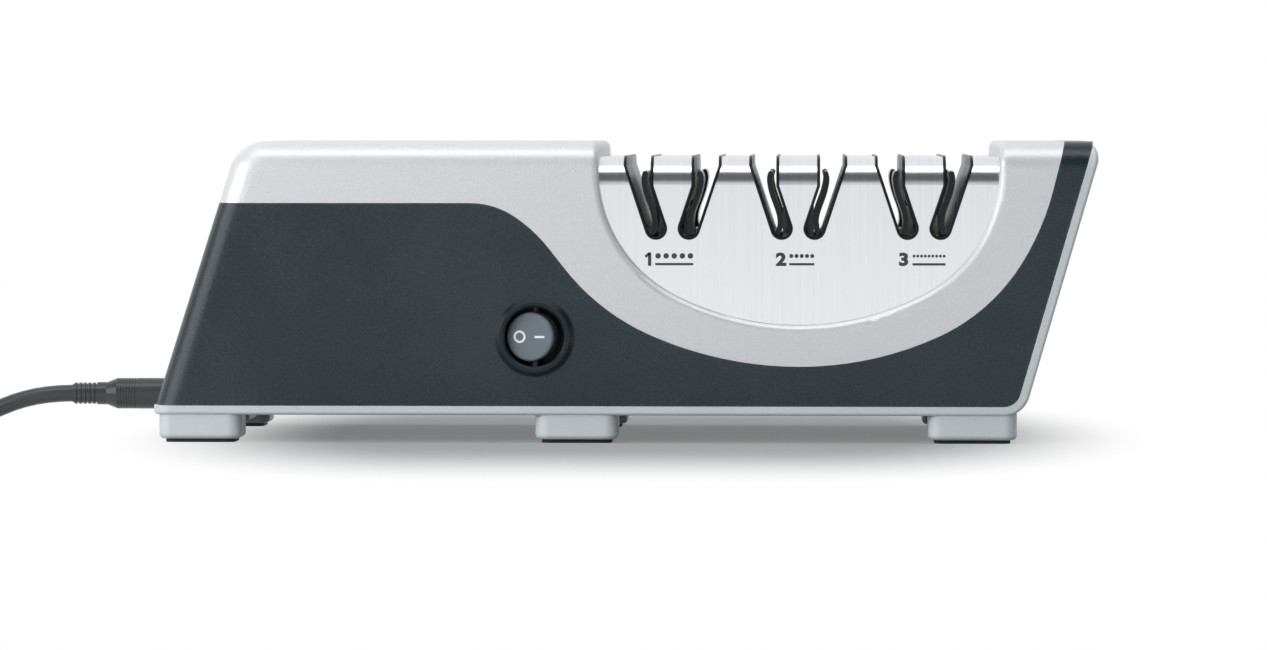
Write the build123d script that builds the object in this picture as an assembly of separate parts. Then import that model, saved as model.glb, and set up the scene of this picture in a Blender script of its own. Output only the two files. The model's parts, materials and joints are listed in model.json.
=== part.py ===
from build123d import *
from math import acos, atan2, cos, hypot, pi, radians, sin, tan
import os

# Electric knife sharpener with three grinding stages.
# Millimetres. X runs along the length, the front is -Y, +Z is up, and the floor is z = 0.

# ---- Casing -------------------------------------------------------------------
base_left_x = -161.8  # left end of the base
base_half_depth = 55.0
base_bottom = 9.5  # underside of the base plate
base_plate = 3.1  # thickness of the base plate
base_top = base_bottom + base_plate
rim_proud = 0.5  # how far the base stands out past the housing
base_corner_radius = 6.0  # left corners of the base, seen from above
end_foot_x = 136.6  # outer face of the end plate at end_foot_z
end_foot_z = 16.0
end_lean = 16.1  # degrees from vertical
end_plate = 3.2  # thickness of the end plate
end_top = 103.4
end_top_radius = 6.5
end_corner_radius = 9.0
plate_edge_radius = 1.1

half_depth = base_half_depth - rim_proud
left_foot_x = base_left_x + 0.3  # left end of the housing at the base plate
left_lean = 17.6
case_drop = 0.8  # from the end plate's top to the casing's top
case_top = end_top - case_drop
case_corner_radius = 13.0  # top left corner, seen from the front
case_edge_radius = 9.0  # long top edges and left end edges
wall = 2.5
cover_wall = 3.6
skirt_inset = 2.65  # where the cover's skirt starts, inside the housing wall
skirt_drop = 5.0
skirt_floor = 2.0  # the skirt stays this far above the base plate
seam = 0.15  # gap between casing pieces
end_gap = 0.1  # gap between the casing and the end plate
end_open = 20.0  # how far the casing's hollow runs out through its open right end
over = 1.0  # how far a cut runs past the piece it cuts
far_over = 5.0  # the same for large cuts
tall = 40.0  # height of a cut that is open at its top
near_by = 0.1  # a point this near a face counts as on it

# ---- Parting line between cover and housing, seen from the front ----------------
seam_drop = 20.95  # from the casing's top to the line's left stretch
seam_left_z = case_top - seam_drop
seam_start_x = -53.1
seam_bends = [(27.0, -34.0), (52.0, -18.0)]  # radius, turn in degrees
seam_ramp = 8.0  # straight stretch after the first bends
seam_bowl = [(76.0, 28.0), (125.0, 24.0), (114.0, 24.0), (65.0, 34.0), (88.0, 18.0)]

# ---- Dome opening and steel cover -----------------------------------------------
dome_x = 58.4
dome_depth = 62.35  # from the casing's top to the lowest point of the opening
dome_bottom = case_top - dome_depth
dome_bottom_radius = 92.0
dome_side_radius = 48.0
dome_bottom_turn = 27.0
dome_edge_radius = 2.4
dome_lip = 2.8  # width of the cover's lip around the opening
steel_set_back = 3.0  # the steel behind the casing's front
steel_half_depth = half_depth - steel_set_back
steel_drop = 5.3  # from the casing's top to the steel's top
steel_top = case_top - steel_drop
steel_edge_radius = 9.5
steel_sheet = 1.0
steel_tuck = 2.5  # how far the sheet runs under the lip
steel_gap = 0.05
steel_half_length = 80.0  # of the bent sheet before it is cut to the opening
lip_room = 0.2

# ---- Grinding stages ------------------------------------------------------------
stage_x = [15.5, 58.2, 100.9]
slot_foot_x = 5.6  # centre of a slot's round foot, from the middle of its stage
slot_depth = 24.3  # from the steel's top to the centre of a slot's foot
slot_foot_z = steel_top - slot_depth
liner_radius = 3.75  # outside of the liner round the slot's foot
liner = 0.95  # thickness of the liner
inner_kink = (6.5, steel_top - 9.8)
outer_kink = (16.6, steel_top - 3.0)
liner_proud = 0.5  # how far the liner stands out of the steel
liner_gap = 0.1
liner_edge_radius = 0.35
web_bottom = slot_foot_z + 10.0
web = 2.0
web_half_depth = steel_half_depth - 3.5
web_side_gap = 0.3
leg_reach = 3.0  # how far a leg reaches past the centre of a slot's foot
disc_window_half = 22.5
disc_window_top = web_bottom - 1.0
rail_near = steel_half_depth - 13.5
rail_far = steel_half_depth - 5.5
rail_top = slot_foot_z - 7.0
rail_bottom = rail_top - 4.0
bar_width = 4.0
bar_x = [-2.0, 36.85, 79.55, 112.5]
post_radius = 4.5
post_hole_depth = 12.0
post_y = (rail_near + rail_far) / 2

# ---- Guide springs --------------------------------------------------------------
spring_root = (6.65, slot_foot_z - 1.45)
spring_root_radius = 0.75
leaf = 1.9  # thickness of a leaf
leaf_rise = [(6.45, -0.6), (6.35, 4.7), (7.55, 8.4), (8.7, 11.6), (9.45, 14.6), (9.65, 17.2), (9.3, 18.6)]
leaf_line = [(x, slot_foot_z + rise) for x, rise in leaf_rise]
leaf_far = steel_half_depth - 2.0
leaf_near = leaf_far - 24.5
neck_half = 0.5  # half the thickness between a leaf and its root

# ---- Drive ----------------------------------------------------------------------
shaft_drop = 17.0  # from the centres of the slots' feet to the shaft
shaft_z = slot_foot_z - shaft_drop
shaft_radius = 4.0
shaft_left = -27.0
shaft_right = 127.5
running_gap = 0.04
disc_radius = 24.0
disc_face = 5.4  # outer face of a disc, from the middle of its stage
disc_plate = 2.4
disc_travel = 0.8
hub_radius = 6.5
hub_out = 2.6
ring_gap = 0.05
ring_width = 1.2
ring_radius = 6.0
disc_spring_radius = 5.8
disc_wire = 0.5
spring_turns = 3
drive_pin_radius = 1.0
pin_inset = 1.6  # from a hub's outer face to its drive pin
pin_play = 0.1
pin_end_gap = 0.3
ring_bite = 0.5  # how deep a retaining ring sits in the shaft
spring_end_gap = 0.05
bearing_radius = 11.0
bearing_width = 7.0
bearing_x = [-11.0, 122.0]
block_width = 11.0
block_half_depth = 17.0
block_cap = 5.0  # wall over the bearing
block_ear = 5.0  # height of a cap's ears
ear_screw_y = 13.5
ear_hole_depth = 10.0
screw_end_gap = 2.0  # a blind hole is deeper than its screw
seat_gap = 0.02
seat_end_gap = 0.05
shaft_clearance = 2.0
cap_gap = 0.05
block_screw_y = 21.0
flange_toe = 4.0  # how far a block's flange reaches towards the discs
flange_height = 4.5
flange_half_depth = 25.0

motor_left = -124.0
motor_right = -60.0
motor_radius = 25.0
motor_wall = 1.8
boss_wall = 1.5  # round a motor bearing
motor_hole_gap = 0.5
motor_vents = 6
vent_left = 12.0  # from the can's closed end
vent_box = (6.0, 8.0, 9.0)
bell_width = 6.0
bell_lip = 4.0
bell_lip_wall = 3.0
bell_hole_radius = 3.2
bell_hole_circle = 15.0
magnet_past = 2.0  # how far the magnets reach past the rotor
magnet_gap_half = 7.0
magnet_radius = 22.8
rotor_radius = 16.6
air_gap = 0.7
rotor_left = -110.0
rotor_right = -80.0
rotor_slots = 10
rotor_slot_depth = 6.0
rotor_slot_half = 1.1
winding_length = 6.0
winding_inset = 1.6
winding_round = 2.0
commutator_radius = 7.0
commutator_left = -72.5
commutator_length = 8.0
brush_half = 3.0
brush_half_height = 2.5
brush_gap = 0.1
brush_back_gap = 3.3
motor_shaft_radius = 3.0
motor_shaft_left = -128.0
motor_shaft_right = -33.0
motor_bearing_radius = 8.0
motor_bearing_width = 5.0
motor_bearing_inset = 2.05  # from the can's closed end
bell_bearing_inset = 0.45
fan_x = -50.0
fan_width = 6.0
fan_radius = 21.0
fan_hub_radius = 6.0
fan_blades = 9
fan_blade = 1.2
fan_disc = 1.2
fan_tip_gap = 0.3
fan_root = 0.5  # how far a blade reaches into the hub
cradle_x = [-116.0, -72.0]
cradle_width = 8.0
cradle_half_depth = 30.0
cradle_plate = 3.0
cradle_open_half = 18.0
cradle_cut_half = 17.0
cradle_saddle = 4.0  # wall under the motor
cradle_screw_x = 12.0
cradle_screw_y = 24.0
motor_gap = 0.05
strap = 2.0
strap_gap = 0.1
strap_inset = 1.0
strap_past = 0.4
strap_screw_out = 2.6
strap_screw_depth = 12.0
strap_hole_less = 0.4
coupling_radius = 12.0
coupling_left = -44.0
coupling_body = 7.0
coupling_jaw = 6.0
jaw_turn = 40.0  # degrees of each jaw
spider_turn = 17.0
spider_gap = 0.3
jaw_inner = 5.0
spider_hub = 4.8
spider_arm_inner = 4.5

# ---- Switch ---------------------------------------------------------------------
switch_x = -31.3
switch_z = 36.2
bezel_radius = 13.5
bezel_proud = 2.0
sleeve_radius = 11.6
switch_bore = 10.15
sleeve_back = 10.5 - half_depth
switch_back = sleeve_back + 16.0
rocker_radius = 8.4
rocker_reach = 6.5  # from the pivot to the face
rocker_tilt = 15.0
rocker_pivot_y = rocker_reach - half_depth
rocker_pin_radius = 1.2
rocker_pin_reach = 10.8
rocker_head_back = 0.2  # the head starts this far in front of the pin
rocker_edge_radius = 0.9
stem_half = 4.0
stem_half_height = 5.0
stem_length = 6.5
stem_chamfer = 2.5
bezel_chamfer_in = 1.6
bezel_flat = 0.5  # straight part of the bezel's rim
mouth_chamfer = 0.7
switch_room = 8.0
terminal_length = 9.0
terminal_half = 2.4
terminal_half_height = 0.4
terminal_x = 5.0
terminal_z = 4.0

# ---- Feet -----------------------------------------------------------------------
foot_x = [(-159.9, -131.6), (-31.2, -3.0), (102.4, 132.6)]
foot_depth = 20.0
foot_inset = 0.7
foot_corner = 4.5
foot_bottom = 1.2
foot_edge_radius = 1.6
pad_inset = 2.2
pad_recess = 0.8
pad_gap = 0.1
pad_corner_more = 0.5
foot_sunk = 0.5  # how far a foot reaches into the plate

# ---- Screws ---------------------------------------------------------------------
case_screw_x = [-118.0, 8.0, 92.0]
case_screw_y = half_depth - 8.5
case_rib_half = 1.2
case_screw_short = 3.0
vent_slots = 7
vent_slot = 3.0
vent_pitch = 7.0
vent_half = 14.0
vent_first = motor_left + 10.0
case_boss_radius = 4.0
case_boss_top = 24.0
screw_radius = 1.5
screw_head_radius = 3.0
screw_head = 2.0
screw_gap = 0.1
hole_floor = 0.8  # what is left under a blind hole in the base
screw_foot_gap = 0.7

# ---- Cord -----------------------------------------------------------------------
cord_z = 13.8
cord_diameter = 6.0
relief_radius = 5.4
relief_end_x = -197.0
relief_groove = 0.25
notch_gap = 0.1
collar_radius = 7.5
collar_right = -152.8
collar_width = 2.6
tail_radius = 3.2
tail_right = -136.0
saddle_bottom = 5.2
saddle_half = 10.5
saddle_inset = 1.5
saddle_right = -133.5
strain_relief_grooves = 7
groove_first = -174.3
groove_pitch = 0.98
groove_width = 0.45
relief_taper = [(-181.2, relief_radius), (-184.8, 3.95), (-188.3, 3.95)]
neck_core = 3.25
neck_rib = 3.75
neck_rib_width = 0.9
neck_rib_pitch = 1.6
neck_rib_gap = 0.75  # from the taper's end to the first rib
neck_ribs = 5
clamp_x = -144.0
clamp_screw_y = 8.5
clamp_round = 3.0
clamp_play = 0.05
clamp_width = 7.0
clamp_half = 13.0
clamp_top = 20.5
coil_centre = (-280.0, 44.0)
coil_radius = 31.5
coil_width = 19.0
coil_height = 12.5
coil_edge = 5.0

# Electrics
board_box = (-60.0, -28.0, 4.0, 44.0)
board_z = 19.0
board = 1.6
spacer_inset = 4.0
spacer_radius = 2.5
capacitor_size = (18.0, 8.0, 11.0)
capacitor_spot = (3.0, 26.0)  # its left near corner on the board
capacitor_edge = 1.0
rectifier_size = (15.0, 4.0, 12.0)
rectifier_spot = (5.0, 16.0)
fuse_radius = 2.6
fuse_length = 20.0
fuse_spot = (4.0, 8.0)
choke_radius = 4.0
choke_height = 10.0
choke_spot = (27.0, 29.0)
wire_diameter = 2.2
wire_apart = 1.5  # a wire leaves the cord this far from its middle
plug_length = 37.0
plug_half_width = 17.6
plug_half_thick = 6.85
plug_pin_radius = 2.0
plug_pin_length = 19.0
plug_pin_spacing = 18.6
plug_boot = 8.0
plug_boot_radii = (4.2, 5.6)
plug_shoulder = 9.0
plug_taper = (8.0, 10.0)  # lengths of the narrow neck and of the wide end
plug_edge = 2.2

cord_route = [
    (relief_end_x, 0, cord_z),
    (-211.0, 0.0, cord_z),
    (-233.0, 2.0, 4.1),
    (-256.0, 6.0, 3.0),
    (-280.0, 6.0, 3.0),
]
tail_route = [
    (-242.6, 42.0, 9.3),
    (-242.8, 26.0, 9.4),
    (-244.6, 6.5, 10.0),
    (-246.2, -5.0, 8.3),
    (-246.4, -13.0, 7.0),
]


# ---- Helpers --------------------------------------------------------------------
def from_front(flat, near, far):
    """Extrude a flat shape drawn as (x, z) from y = near to y = far."""
    return extrude(Pos(0, near, 0) * (Plane.XZ * flat), amount=far - near, dir=(0, 1, 0))


def from_left(flat, left, right):
    """Extrude a flat shape drawn as (y, z) from x = left to x = right."""
    return extrude(Pos(left, 0, 0) * (Plane.YZ * flat), amount=right - left, dir=(1, 0, 0))


def block(left, right, near, far, bottom, top):
    size = (right - left, far - near, top - bottom)
    middle = ((left + right) / 2, (near + far) / 2, (bottom + top) / 2)
    return Pos(*middle) * Box(*size)


def post(x, y, bottom, top, radius):
    return Pos(x, y, (bottom + top) / 2) * Cylinder(radius, top - bottom)


def along_x(left, right, radius, y=0.0, z=shaft_z):
    """A cylinder along X."""
    return Pos((left + right) / 2, y, z) * Rot(0, 90, 0) * Cylinder(radius, right - left)


def along_y(near, far, radius, x, z):
    """A cylinder along Y."""
    return Pos(x, (near + far) / 2, z) * Rot(90, 0, 0) * Cylinder(radius, far - near)


def turned(points, z=shaft_z, y=0.0):
    """Revolve an (x, radius) outline about a line along X."""
    flat = make_face(Polyline(*[(x, r) for x, r in points], close=True))
    return Pos(0, y, z) * revolve(flat, axis=Axis.X)


def tube(route, diameter, name=None):
    """A round cord along a route of straight runs joined by tangent arcs."""
    runs = [Vector(*b) - Vector(*a) for a, b in zip(route, route[1:])]
    radii = []
    for first, second in zip(runs, runs[1:]):
        half_turn = radians(first.get_angle(second)) / 2
        radii.append(0.45 * min(first.length, second.length) / tan(half_turn))
    path = FilletPolyline(*route, radius=radii)
    start = Plane(origin=route[0], z_dir=runs[0])
    solid = sweep(start * Circle(diameter / 2), path=path)
    if name:
        print(name, "radii", [round(r, 1) for r in radii], "length", round(path.length, 1))
        print(name, "volume over section x length", solid.volume / (pi * diameter**2 / 4 * path.length))
    return solid


def one(shape):
    """The single solid of a shape, or the shape as a group."""
    solids = shape.solids()
    return solids[0] if len(solids) == 1 else Compound(children=list(solids))


def group(shapes):
    return Compound(children=[s for shape in shapes for s in shape.solids()])


# ---- Casing outlines --------------------------------------------------------------
def end_x(z, inset=0.0):
    """The end plate's outer face at a height, or a line inset from it."""
    return end_foot_x + (z - end_foot_z) * tan(radians(end_lean)) - inset / cos(radians(end_lean))


def left_x(z, inset=0.0):
    """The housing's left face at a height, or a line inset from it."""
    return left_foot_x + (z - base_top) * tan(radians(left_lean)) + inset / cos(radians(left_lean))


def envelope(inset=0.0, bottom=base_top, open_end=0.0):
    """The casing's outer shape as a solid, shrunk by an inset at the top, left, front and back."""
    top = case_top - inset
    end_inset = end_plate + end_gap - open_end
    corners = [
        (left_x(bottom, inset), bottom),
        (end_x(bottom, end_inset), bottom),
        (end_x(top, end_inset), top),
        (left_x(top, inset), top),
    ]
    flat = make_face(Polyline(*corners, close=True))
    flat = fillet(flat.vertices().sort_by(Axis.X)[0:2].sort_by(Axis.Y)[-1:], case_corner_radius - inset)
    if open_end == 0:
        low_right = flat.vertices().sort_by(Axis.Y)[0:2].sort_by(Axis.X)[-1:]
        flat = fillet(low_right, end_corner_radius - end_plate)
    depth = half_depth - inset
    solid = from_front(flat, -depth, depth)
    rim = []
    for edge in solid.edges():
        middle = edge @ 0.5
        on_face = abs(abs(middle.Y) - depth) < 0.01
        at_end = abs(middle.X - end_x(middle.Z, end_inset)) < 0.01
        at_corner = middle.X > dome_x and middle.Z < bottom + end_corner_radius
        if on_face and not at_end and not at_corner and middle.Z > bottom + 0.01:
            rim.append(edge)
    return fillet(rim, case_edge_radius - inset)


def cover_outline():
    """Everything above the parting line, as a flat (x, z) shape."""
    edges = [Line((base_left_x - far_over, seam_left_z), (seam_start_x, seam_left_z))]
    heading = 0.0
    for step, bends in enumerate((seam_bends, seam_bowl)):
        for radius, turn in bends:
            start = edges[-1] @ 1
            way = (cos(radians(heading)), sin(radians(heading)))
            edges.append(JernArc(start=start, tangent=way, radius=radius, arc_size=turn))
            heading += turn
        if step == 0:
            start = edges[-1] @ 1
            way = Vector(cos(radians(heading)), sin(radians(heading)))
            edges.append(Line(start, start + way * seam_ramp))
    start = edges[-1] @ 1
    rise = end_top + far_over - start.Y
    top = (start.X + rise / tan(radians(heading)), start.Y + rise)
    edges.append(Line(start, top))
    edges.append(Polyline(top, (base_left_x - far_over, top[1]), (base_left_x - far_over, seam_left_z)))
    return make_face(edges)


def dome_outline():
    """The dome opening as a flat (x, z) shape, open past the top."""
    bottom = (dome_x, dome_bottom)
    first = JernArc(start=bottom, tangent=(1, 0), radius=dome_bottom_radius, arc_size=dome_bottom_turn)
    second = JernArc(start=first @ 1, tangent=first % 1, radius=dome_side_radius, arc_size=90 - dome_bottom_turn)
    side = second @ 1
    top = end_top + far_over
    right = [first, second, Line(side, (side.X, top)), Line((side.X, top), (dome_x, top))]
    half = make_face(right + [Line((dome_x, top), bottom)])
    return half + mirror(half, about=Plane.YZ.offset(dome_x))


def section(inset, bottom=base_top):
    """The steel cover's outer section as a flat (y, z) shape, grown where the inset is negative."""
    depth = steel_half_depth - inset
    top = steel_top - inset
    flat = make_face(Polyline((-depth, bottom), (depth, bottom), (depth, top), (-depth, top), close=True))
    return fillet(flat.vertices().sort_by(Axis.Y)[-2:], steel_edge_radius - inset)


# ---- Slots ------------------------------------------------------------------------
def touch(centre, radius, point, side):
    """Where a line from a point touches a circle, on the given side."""
    dx, dz = point[0] - centre[0], point[1] - centre[1]
    turn = atan2(dz, dx) + side * acos(radius / hypot(dx, dz))
    return (centre[0] + radius * cos(turn), centre[1] + radius * sin(turn))


def slot_outline(inset=0.0):
    """The right-hand slot of a stage with its liner, or inset from it, as a flat (x, z) shape."""
    centre = (slot_foot_x, slot_foot_z)
    radius = liner_radius - inset
    inner = (inner_kink[0] + inset, inner_kink[1])
    outer = (outer_kink[0] - inset, outer_kink[1])
    left = touch(centre, radius, inner, 1)
    right = touch(centre, radius, outer, -1)
    top = end_top + far_over
    foot = (centre[0], centre[1] - radius)
    edges = [
        Polyline((inner[0], top), inner, left),
        ThreePointArc(left, foot, right),
        Polyline(right, outer, (outer[0], top), (inner[0], top)),
    ]
    return make_face(edges)


def both_slots(x, inset=0.0):
    right = slot_outline(inset)
    return Pos(x, 0) * (right + mirror(right, about=Plane.YZ))


# ---- Casing pieces ------------------------------------------------------------------
def make_foot(left, right, side):
    near = base_half_depth - foot_inset - foot_depth
    far = base_half_depth - foot_inset
    low, high = (near, far) if side > 0 else (-far, -near)
    foot = block(left, right, low, high, foot_bottom, base_bottom + foot_sunk)
    foot = fillet(foot.edges().filter_by(Axis.Z), foot_corner)
    foot = fillet(foot.faces().sort_by(Axis.Z)[0].edges(), foot_edge_radius)
    return foot - make_pad(left, right, side, pad_gap)


def make_pad(left, right, side, grow=0.0):
    near = base_half_depth - foot_inset - foot_depth
    far = base_half_depth - foot_inset
    low, high = (near, far) if side > 0 else (-far, -near)
    inset = pad_inset - grow
    pad = block(left + inset, right - inset, low + inset, high - inset, 0, foot_bottom + pad_recess)
    return fillet(pad.edges().filter_by(Axis.Z), foot_corner - inset + pad_corner_more)


def make_rubber_feet():
    return group([make_pad(left, right, side) for left, right in foot_x for side in (-1, 1)])


def make_base_tray():
    inner_corner = end_corner_radius - end_plate
    outer = make_face(Polyline(
        (base_left_x, base_bottom), (end_x(base_bottom), base_bottom),
        (end_x(end_top), end_top), (base_left_x, end_top), close=True))
    low_right = outer.vertices().sort_by(Axis.Y)[0:2].sort_by(Axis.X)[-1:]
    outer = fillet(low_right, end_corner_radius)
    top_right = outer.vertices().sort_by(Axis.Y)[-2:].sort_by(Axis.X)[-1:]
    outer = fillet(top_right, end_top_radius)
    inner = make_face(Polyline(
        (base_left_x - far_over, base_top), (end_x(base_top, end_plate), base_top),
        (end_x(end_top + far_over, end_plate), end_top + far_over),
        (base_left_x - far_over, end_top + far_over), close=True))
    low_right = inner.vertices().sort_by(Axis.Y)[0:2].sort_by(Axis.X)[-1:]
    inner = fillet(low_right, inner_corner)
    tray = from_front(outer - inner, -base_half_depth, base_half_depth)
    tray = fillet(tray.edges().filter_by(Axis.Z).group_by(Axis.X)[0], base_corner_radius)
    corner = case_edge_radius + rim_proud
    depth = base_half_depth
    shape = make_face(Polyline(
        (-depth, foot_bottom), (depth, foot_bottom), (depth, end_top), (-depth, end_top), close=True))
    shape = fillet(shape.vertices().sort_by(Axis.Y)[-2:], corner)
    tray = tray & from_left(shape, base_left_x - far_over, end_x(end_top) + far_over)
    tray = fillet(rim_edges(tray), plate_edge_radius)
    for left, right in foot_x:
        for side in (-1, 1):
            tray = tray + make_foot(left, right, side)
    saddle_left = base_left_x + saddle_inset
    saddle_top = base_bottom + foot_sunk
    tray = tray + block(saddle_left, saddle_right, -saddle_half, saddle_half, saddle_bottom, saddle_top)
    for x in (bar_x[0], bar_x[-1]):
        for side in (-1, 1):
            tray = tray + post(x, side * post_y, base_top - foot_sunk, rail_bottom, post_radius)
            tray = tray - post(x, side * post_y, rail_bottom - post_hole_depth, rail_bottom + over, screw_radius)
    for x in case_screw_x:
        for side in (-1, 1):
            y = side * case_screw_y
            seat = base_bottom + screw_head + screw_gap
            tray = tray - post(x, y, base_bottom - over, base_top + over, screw_radius + screw_gap)
            tray = tray - post(x, y, base_bottom - over, seat, screw_head_radius + 2 * screw_gap)
    tray = tray - relief_room()
    tray = tray - clamp_holes(saddle_bottom - over)
    tray = tray - cradle_holes(base_bottom + hole_floor) - block_holes(base_bottom + hole_floor)
    for row in range(vent_slots):
        x = vent_first + row * vent_pitch
        tray = tray - block(x, x + vent_slot, -vent_half, vent_half, base_bottom - over, base_top + over)
    return one(tray)


def rim_edges(tray):
    """The outer edges of the base plate and end plate, front, back and left."""
    rim = []
    for edge in tray.edges():
        middle = edge @ 0.5
        outer_side = middle.Z < base_top - near_by or middle.X > end_x(middle.Z, end_plate) + near_by
        if outer_side:
            rim.append(edge)
    return rim


def relief_room():
    """The space that the strain relief takes out of the base and the housing."""
    room = along_x(relief_end_x, collar_right, relief_radius + notch_gap, z=cord_z)
    left = collar_right - collar_width
    room = room + along_x(left - notch_gap, collar_right + notch_gap, collar_radius + notch_gap, z=cord_z)
    return room + along_x(left, saddle_right + far_over, tail_radius + notch_gap, z=cord_z)


def make_main_housing():
    shell = envelope() - envelope(wall, base_top - far_over, end_open)
    shell = shell - from_front(offset(cover_outline(), seam), -base_half_depth, base_half_depth)
    for x in case_screw_x:
        for side in (-1, 1):
            y = side * case_screw_y
            shell = shell + post(x, y, base_top, case_boss_top, case_boss_radius)
            near, far = sorted((y, side * (half_depth - wall / 2)))
            shell = shell + block(x - case_rib_half, x + case_rib_half, near, far, base_top, case_boss_top)
            shell = shell - post(x, y, base_top - over, case_boss_top - screw_end_gap, screw_radius)
    sleeve_hole = sleeve_radius + screw_gap
    shell = shell - along_y(-half_depth - over, -half_depth + wall + over, sleeve_hole, switch_x, switch_z)
    notch_half = relief_radius + notch_gap
    notch = block(base_left_x - far_over, collar_right, -notch_half, notch_half, saddle_bottom, cord_z)
    return one(shell - relief_room() - notch)


def make_top_cover():
    above = cover_outline()
    dome = dome_outline()
    solid = envelope() & from_front(above, -base_half_depth, base_half_depth)
    solid = solid - from_front(dome, -base_half_depth, base_half_depth)
    lips = []
    for edge in solid.edges():
        for t in (0.25, 0.75):
            p = edge @ t
            if not on_dome(p) or not on_skin(p):
                break
        else:
            lips.append(edge)
    solid = fillet(lips, dome_edge_radius)
    core = envelope(cover_wall, base_top - far_over, end_open)
    core = core - from_front(offset(dome, dome_lip), -base_half_depth, base_half_depth)
    solid = solid - core
    room = from_left(section(-steel_gap), dome_x - steel_half_length, dome_x + steel_half_length)
    room = room & from_front(offset(dome, dome_lip + lip_room), -base_half_depth, base_half_depth)
    skirt = envelope(skirt_inset, base_top - far_over) - envelope(cover_wall, base_top - far_over, end_open)
    skirt = skirt & from_front(offset(above, skirt_drop), -base_half_depth, base_half_depth)
    skirt = skirt - from_front(offset(dome, dome_lip), -base_half_depth, base_half_depth)
    skirt = skirt & block(base_left_x, end_x(case_top), -half_depth, half_depth, base_top + skirt_floor, case_top)
    return one(solid + skirt - room)


def on_dome(p):
    """True where a point lies on the dome opening's wall."""
    across = abs(p.X - dome_x)
    turn = radians(dome_bottom_turn)
    side_x = (dome_bottom_radius - dome_side_radius) * sin(turn)
    side_z = dome_bottom + dome_bottom_radius - (dome_bottom_radius - dome_side_radius) * cos(turn)
    if p.Z > side_z:
        return abs(across - side_x - dome_side_radius) < near_by / 2
    if across > dome_bottom_radius * sin(turn):
        return abs(hypot(across - side_x, p.Z - side_z) - dome_side_radius) < near_by / 2
    return abs(hypot(across, p.Z - dome_bottom - dome_bottom_radius) - dome_bottom_radius) < near_by / 2


def on_skin(p):
    """True where a point lies on the casing's outer front, back or top."""
    flat_top = case_top - case_edge_radius
    flat_side = half_depth - case_edge_radius
    y = abs(p.Y)
    if p.Z > flat_top and y > flat_side:
        return abs(hypot(y - flat_side, p.Z - flat_top) - case_edge_radius) < near_by / 2
    return abs(y - half_depth) < near_by / 2 or abs(p.Z - case_top) < near_by / 2


def make_steel_cover():
    left, right = dome_x - steel_half_length, dome_x + steel_half_length
    outer = from_left(section(0), left, right)
    inner = from_left(section(steel_sheet, base_top - far_over), left, right)
    sheet = (outer - inner) & from_front(offset(dome_outline(), steel_tuck), -base_half_depth, base_half_depth)
    for x in stage_x:
        sheet = sheet - from_front(both_slots(x, -liner_gap), -base_half_depth, base_half_depth)
    return one(sheet)


# ---- Stages -----------------------------------------------------------------------
def make_guide_insert(x):
    """The two liners of a stage in one piece, with the web and the legs that carry them."""
    void = from_front(both_slots(x, liner), -base_half_depth - over, base_half_depth + over)
    outer = from_front(both_slots(x), -base_half_depth, base_half_depth)
    reach = outer_kink[0] + over
    outer = outer & from_left(section(-liner_proud, base_top), x - reach, x + reach)
    insert = outer - void
    rim = [e for e in insert.edges() if e.length > 3 * liner_edge_radius and on_liner_front(e)]
    insert = fillet(rim, liner_edge_radius)
    inner = inner_kink[0] - web_side_gap
    web_plate = block(x - inner, x + inner, -web_half_depth, web_half_depth, web_bottom, web_bottom + web)
    insert = insert + (web_plate - outer)
    leg_half = slot_foot_x + leg_reach
    for side in (-1, 1):
        near, far = sorted((side * rail_near, side * rail_far))
        insert = insert + (block(x - leg_half, x + leg_half, near, far, rail_top, slot_foot_z) - outer)
    window = disc_face + disc_travel
    insert = insert - block(x - window, x + window, -disc_window_half, disc_window_half, rail_bottom, disc_window_top)
    return one(insert)


def on_liner_front(edge):
    """True where an edge lies on the liners' curved front, top or back."""
    depth, top = steel_half_depth + liner_proud, steel_top + liner_proud
    radius = steel_edge_radius + liner_proud
    for t in (0.0, 0.3, 0.7, 1.0):
        p = edge @ t
        y = abs(p.Y)
        if y > depth - radius and p.Z > top - radius:
            gap = hypot(y - depth + radius, p.Z - top + radius) - radius
        else:
            gap = min(abs(y - depth), abs(p.Z - top))
        if abs(gap) > near_by / 2:
            return False
    return True


def make_stage_frame():
    frame = None
    left, right = bar_x[0] - bar_width, bar_x[-1] + bar_width
    for side in (-1, 1):
        near, far = sorted((side * rail_near, side * rail_far))
        rail = block(left, right, near, far, rail_bottom, rail_top)
        frame = rail if frame is None else frame + rail
    for x in bar_x:
        frame = frame + block(x - bar_width / 2, x + bar_width / 2, -rail_near, rail_near, rail_bottom, rail_top)
    for x in (bar_x[0], bar_x[-1]):
        for side in (-1, 1):
            frame = frame - post(x, side * post_y, rail_bottom - over, rail_top + over, screw_radius + screw_gap)
    return one(frame)


def make_guide_spring(x, side):
    """A leaf spring of a slot: a root bar with one leaf at each end of the slot."""
    flat = trace(Spline(*leaf_line), line_width=leaf)
    ends = [Pos(*leaf_line[0]) * Circle(leaf / 2), Pos(*leaf_line[-1]) * Circle(leaf / 2)]
    flat = flat + ends[0] + ends[1]
    spring = along_y(-leaf_far, leaf_far, spring_root_radius, *spring_root)
    (leaf_x, leaf_z), (root_x, root_z) = leaf_line[0], spring_root
    neck = make_face(Polyline(
        (leaf_x - neck_half, leaf_z), (leaf_x + neck_half, leaf_z),
        (root_x + neck_half, root_z), (root_x - neck_half, root_z), close=True))
    for near, far in ((-leaf_far, -leaf_near), (leaf_near, leaf_far)):
        spring = spring + from_front(flat, near, far) + from_front(neck, near, far)
    if side < 0:
        spring = mirror(spring, about=Plane.YZ)
    return one(Pos(x, 0, 0) * spring)


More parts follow.
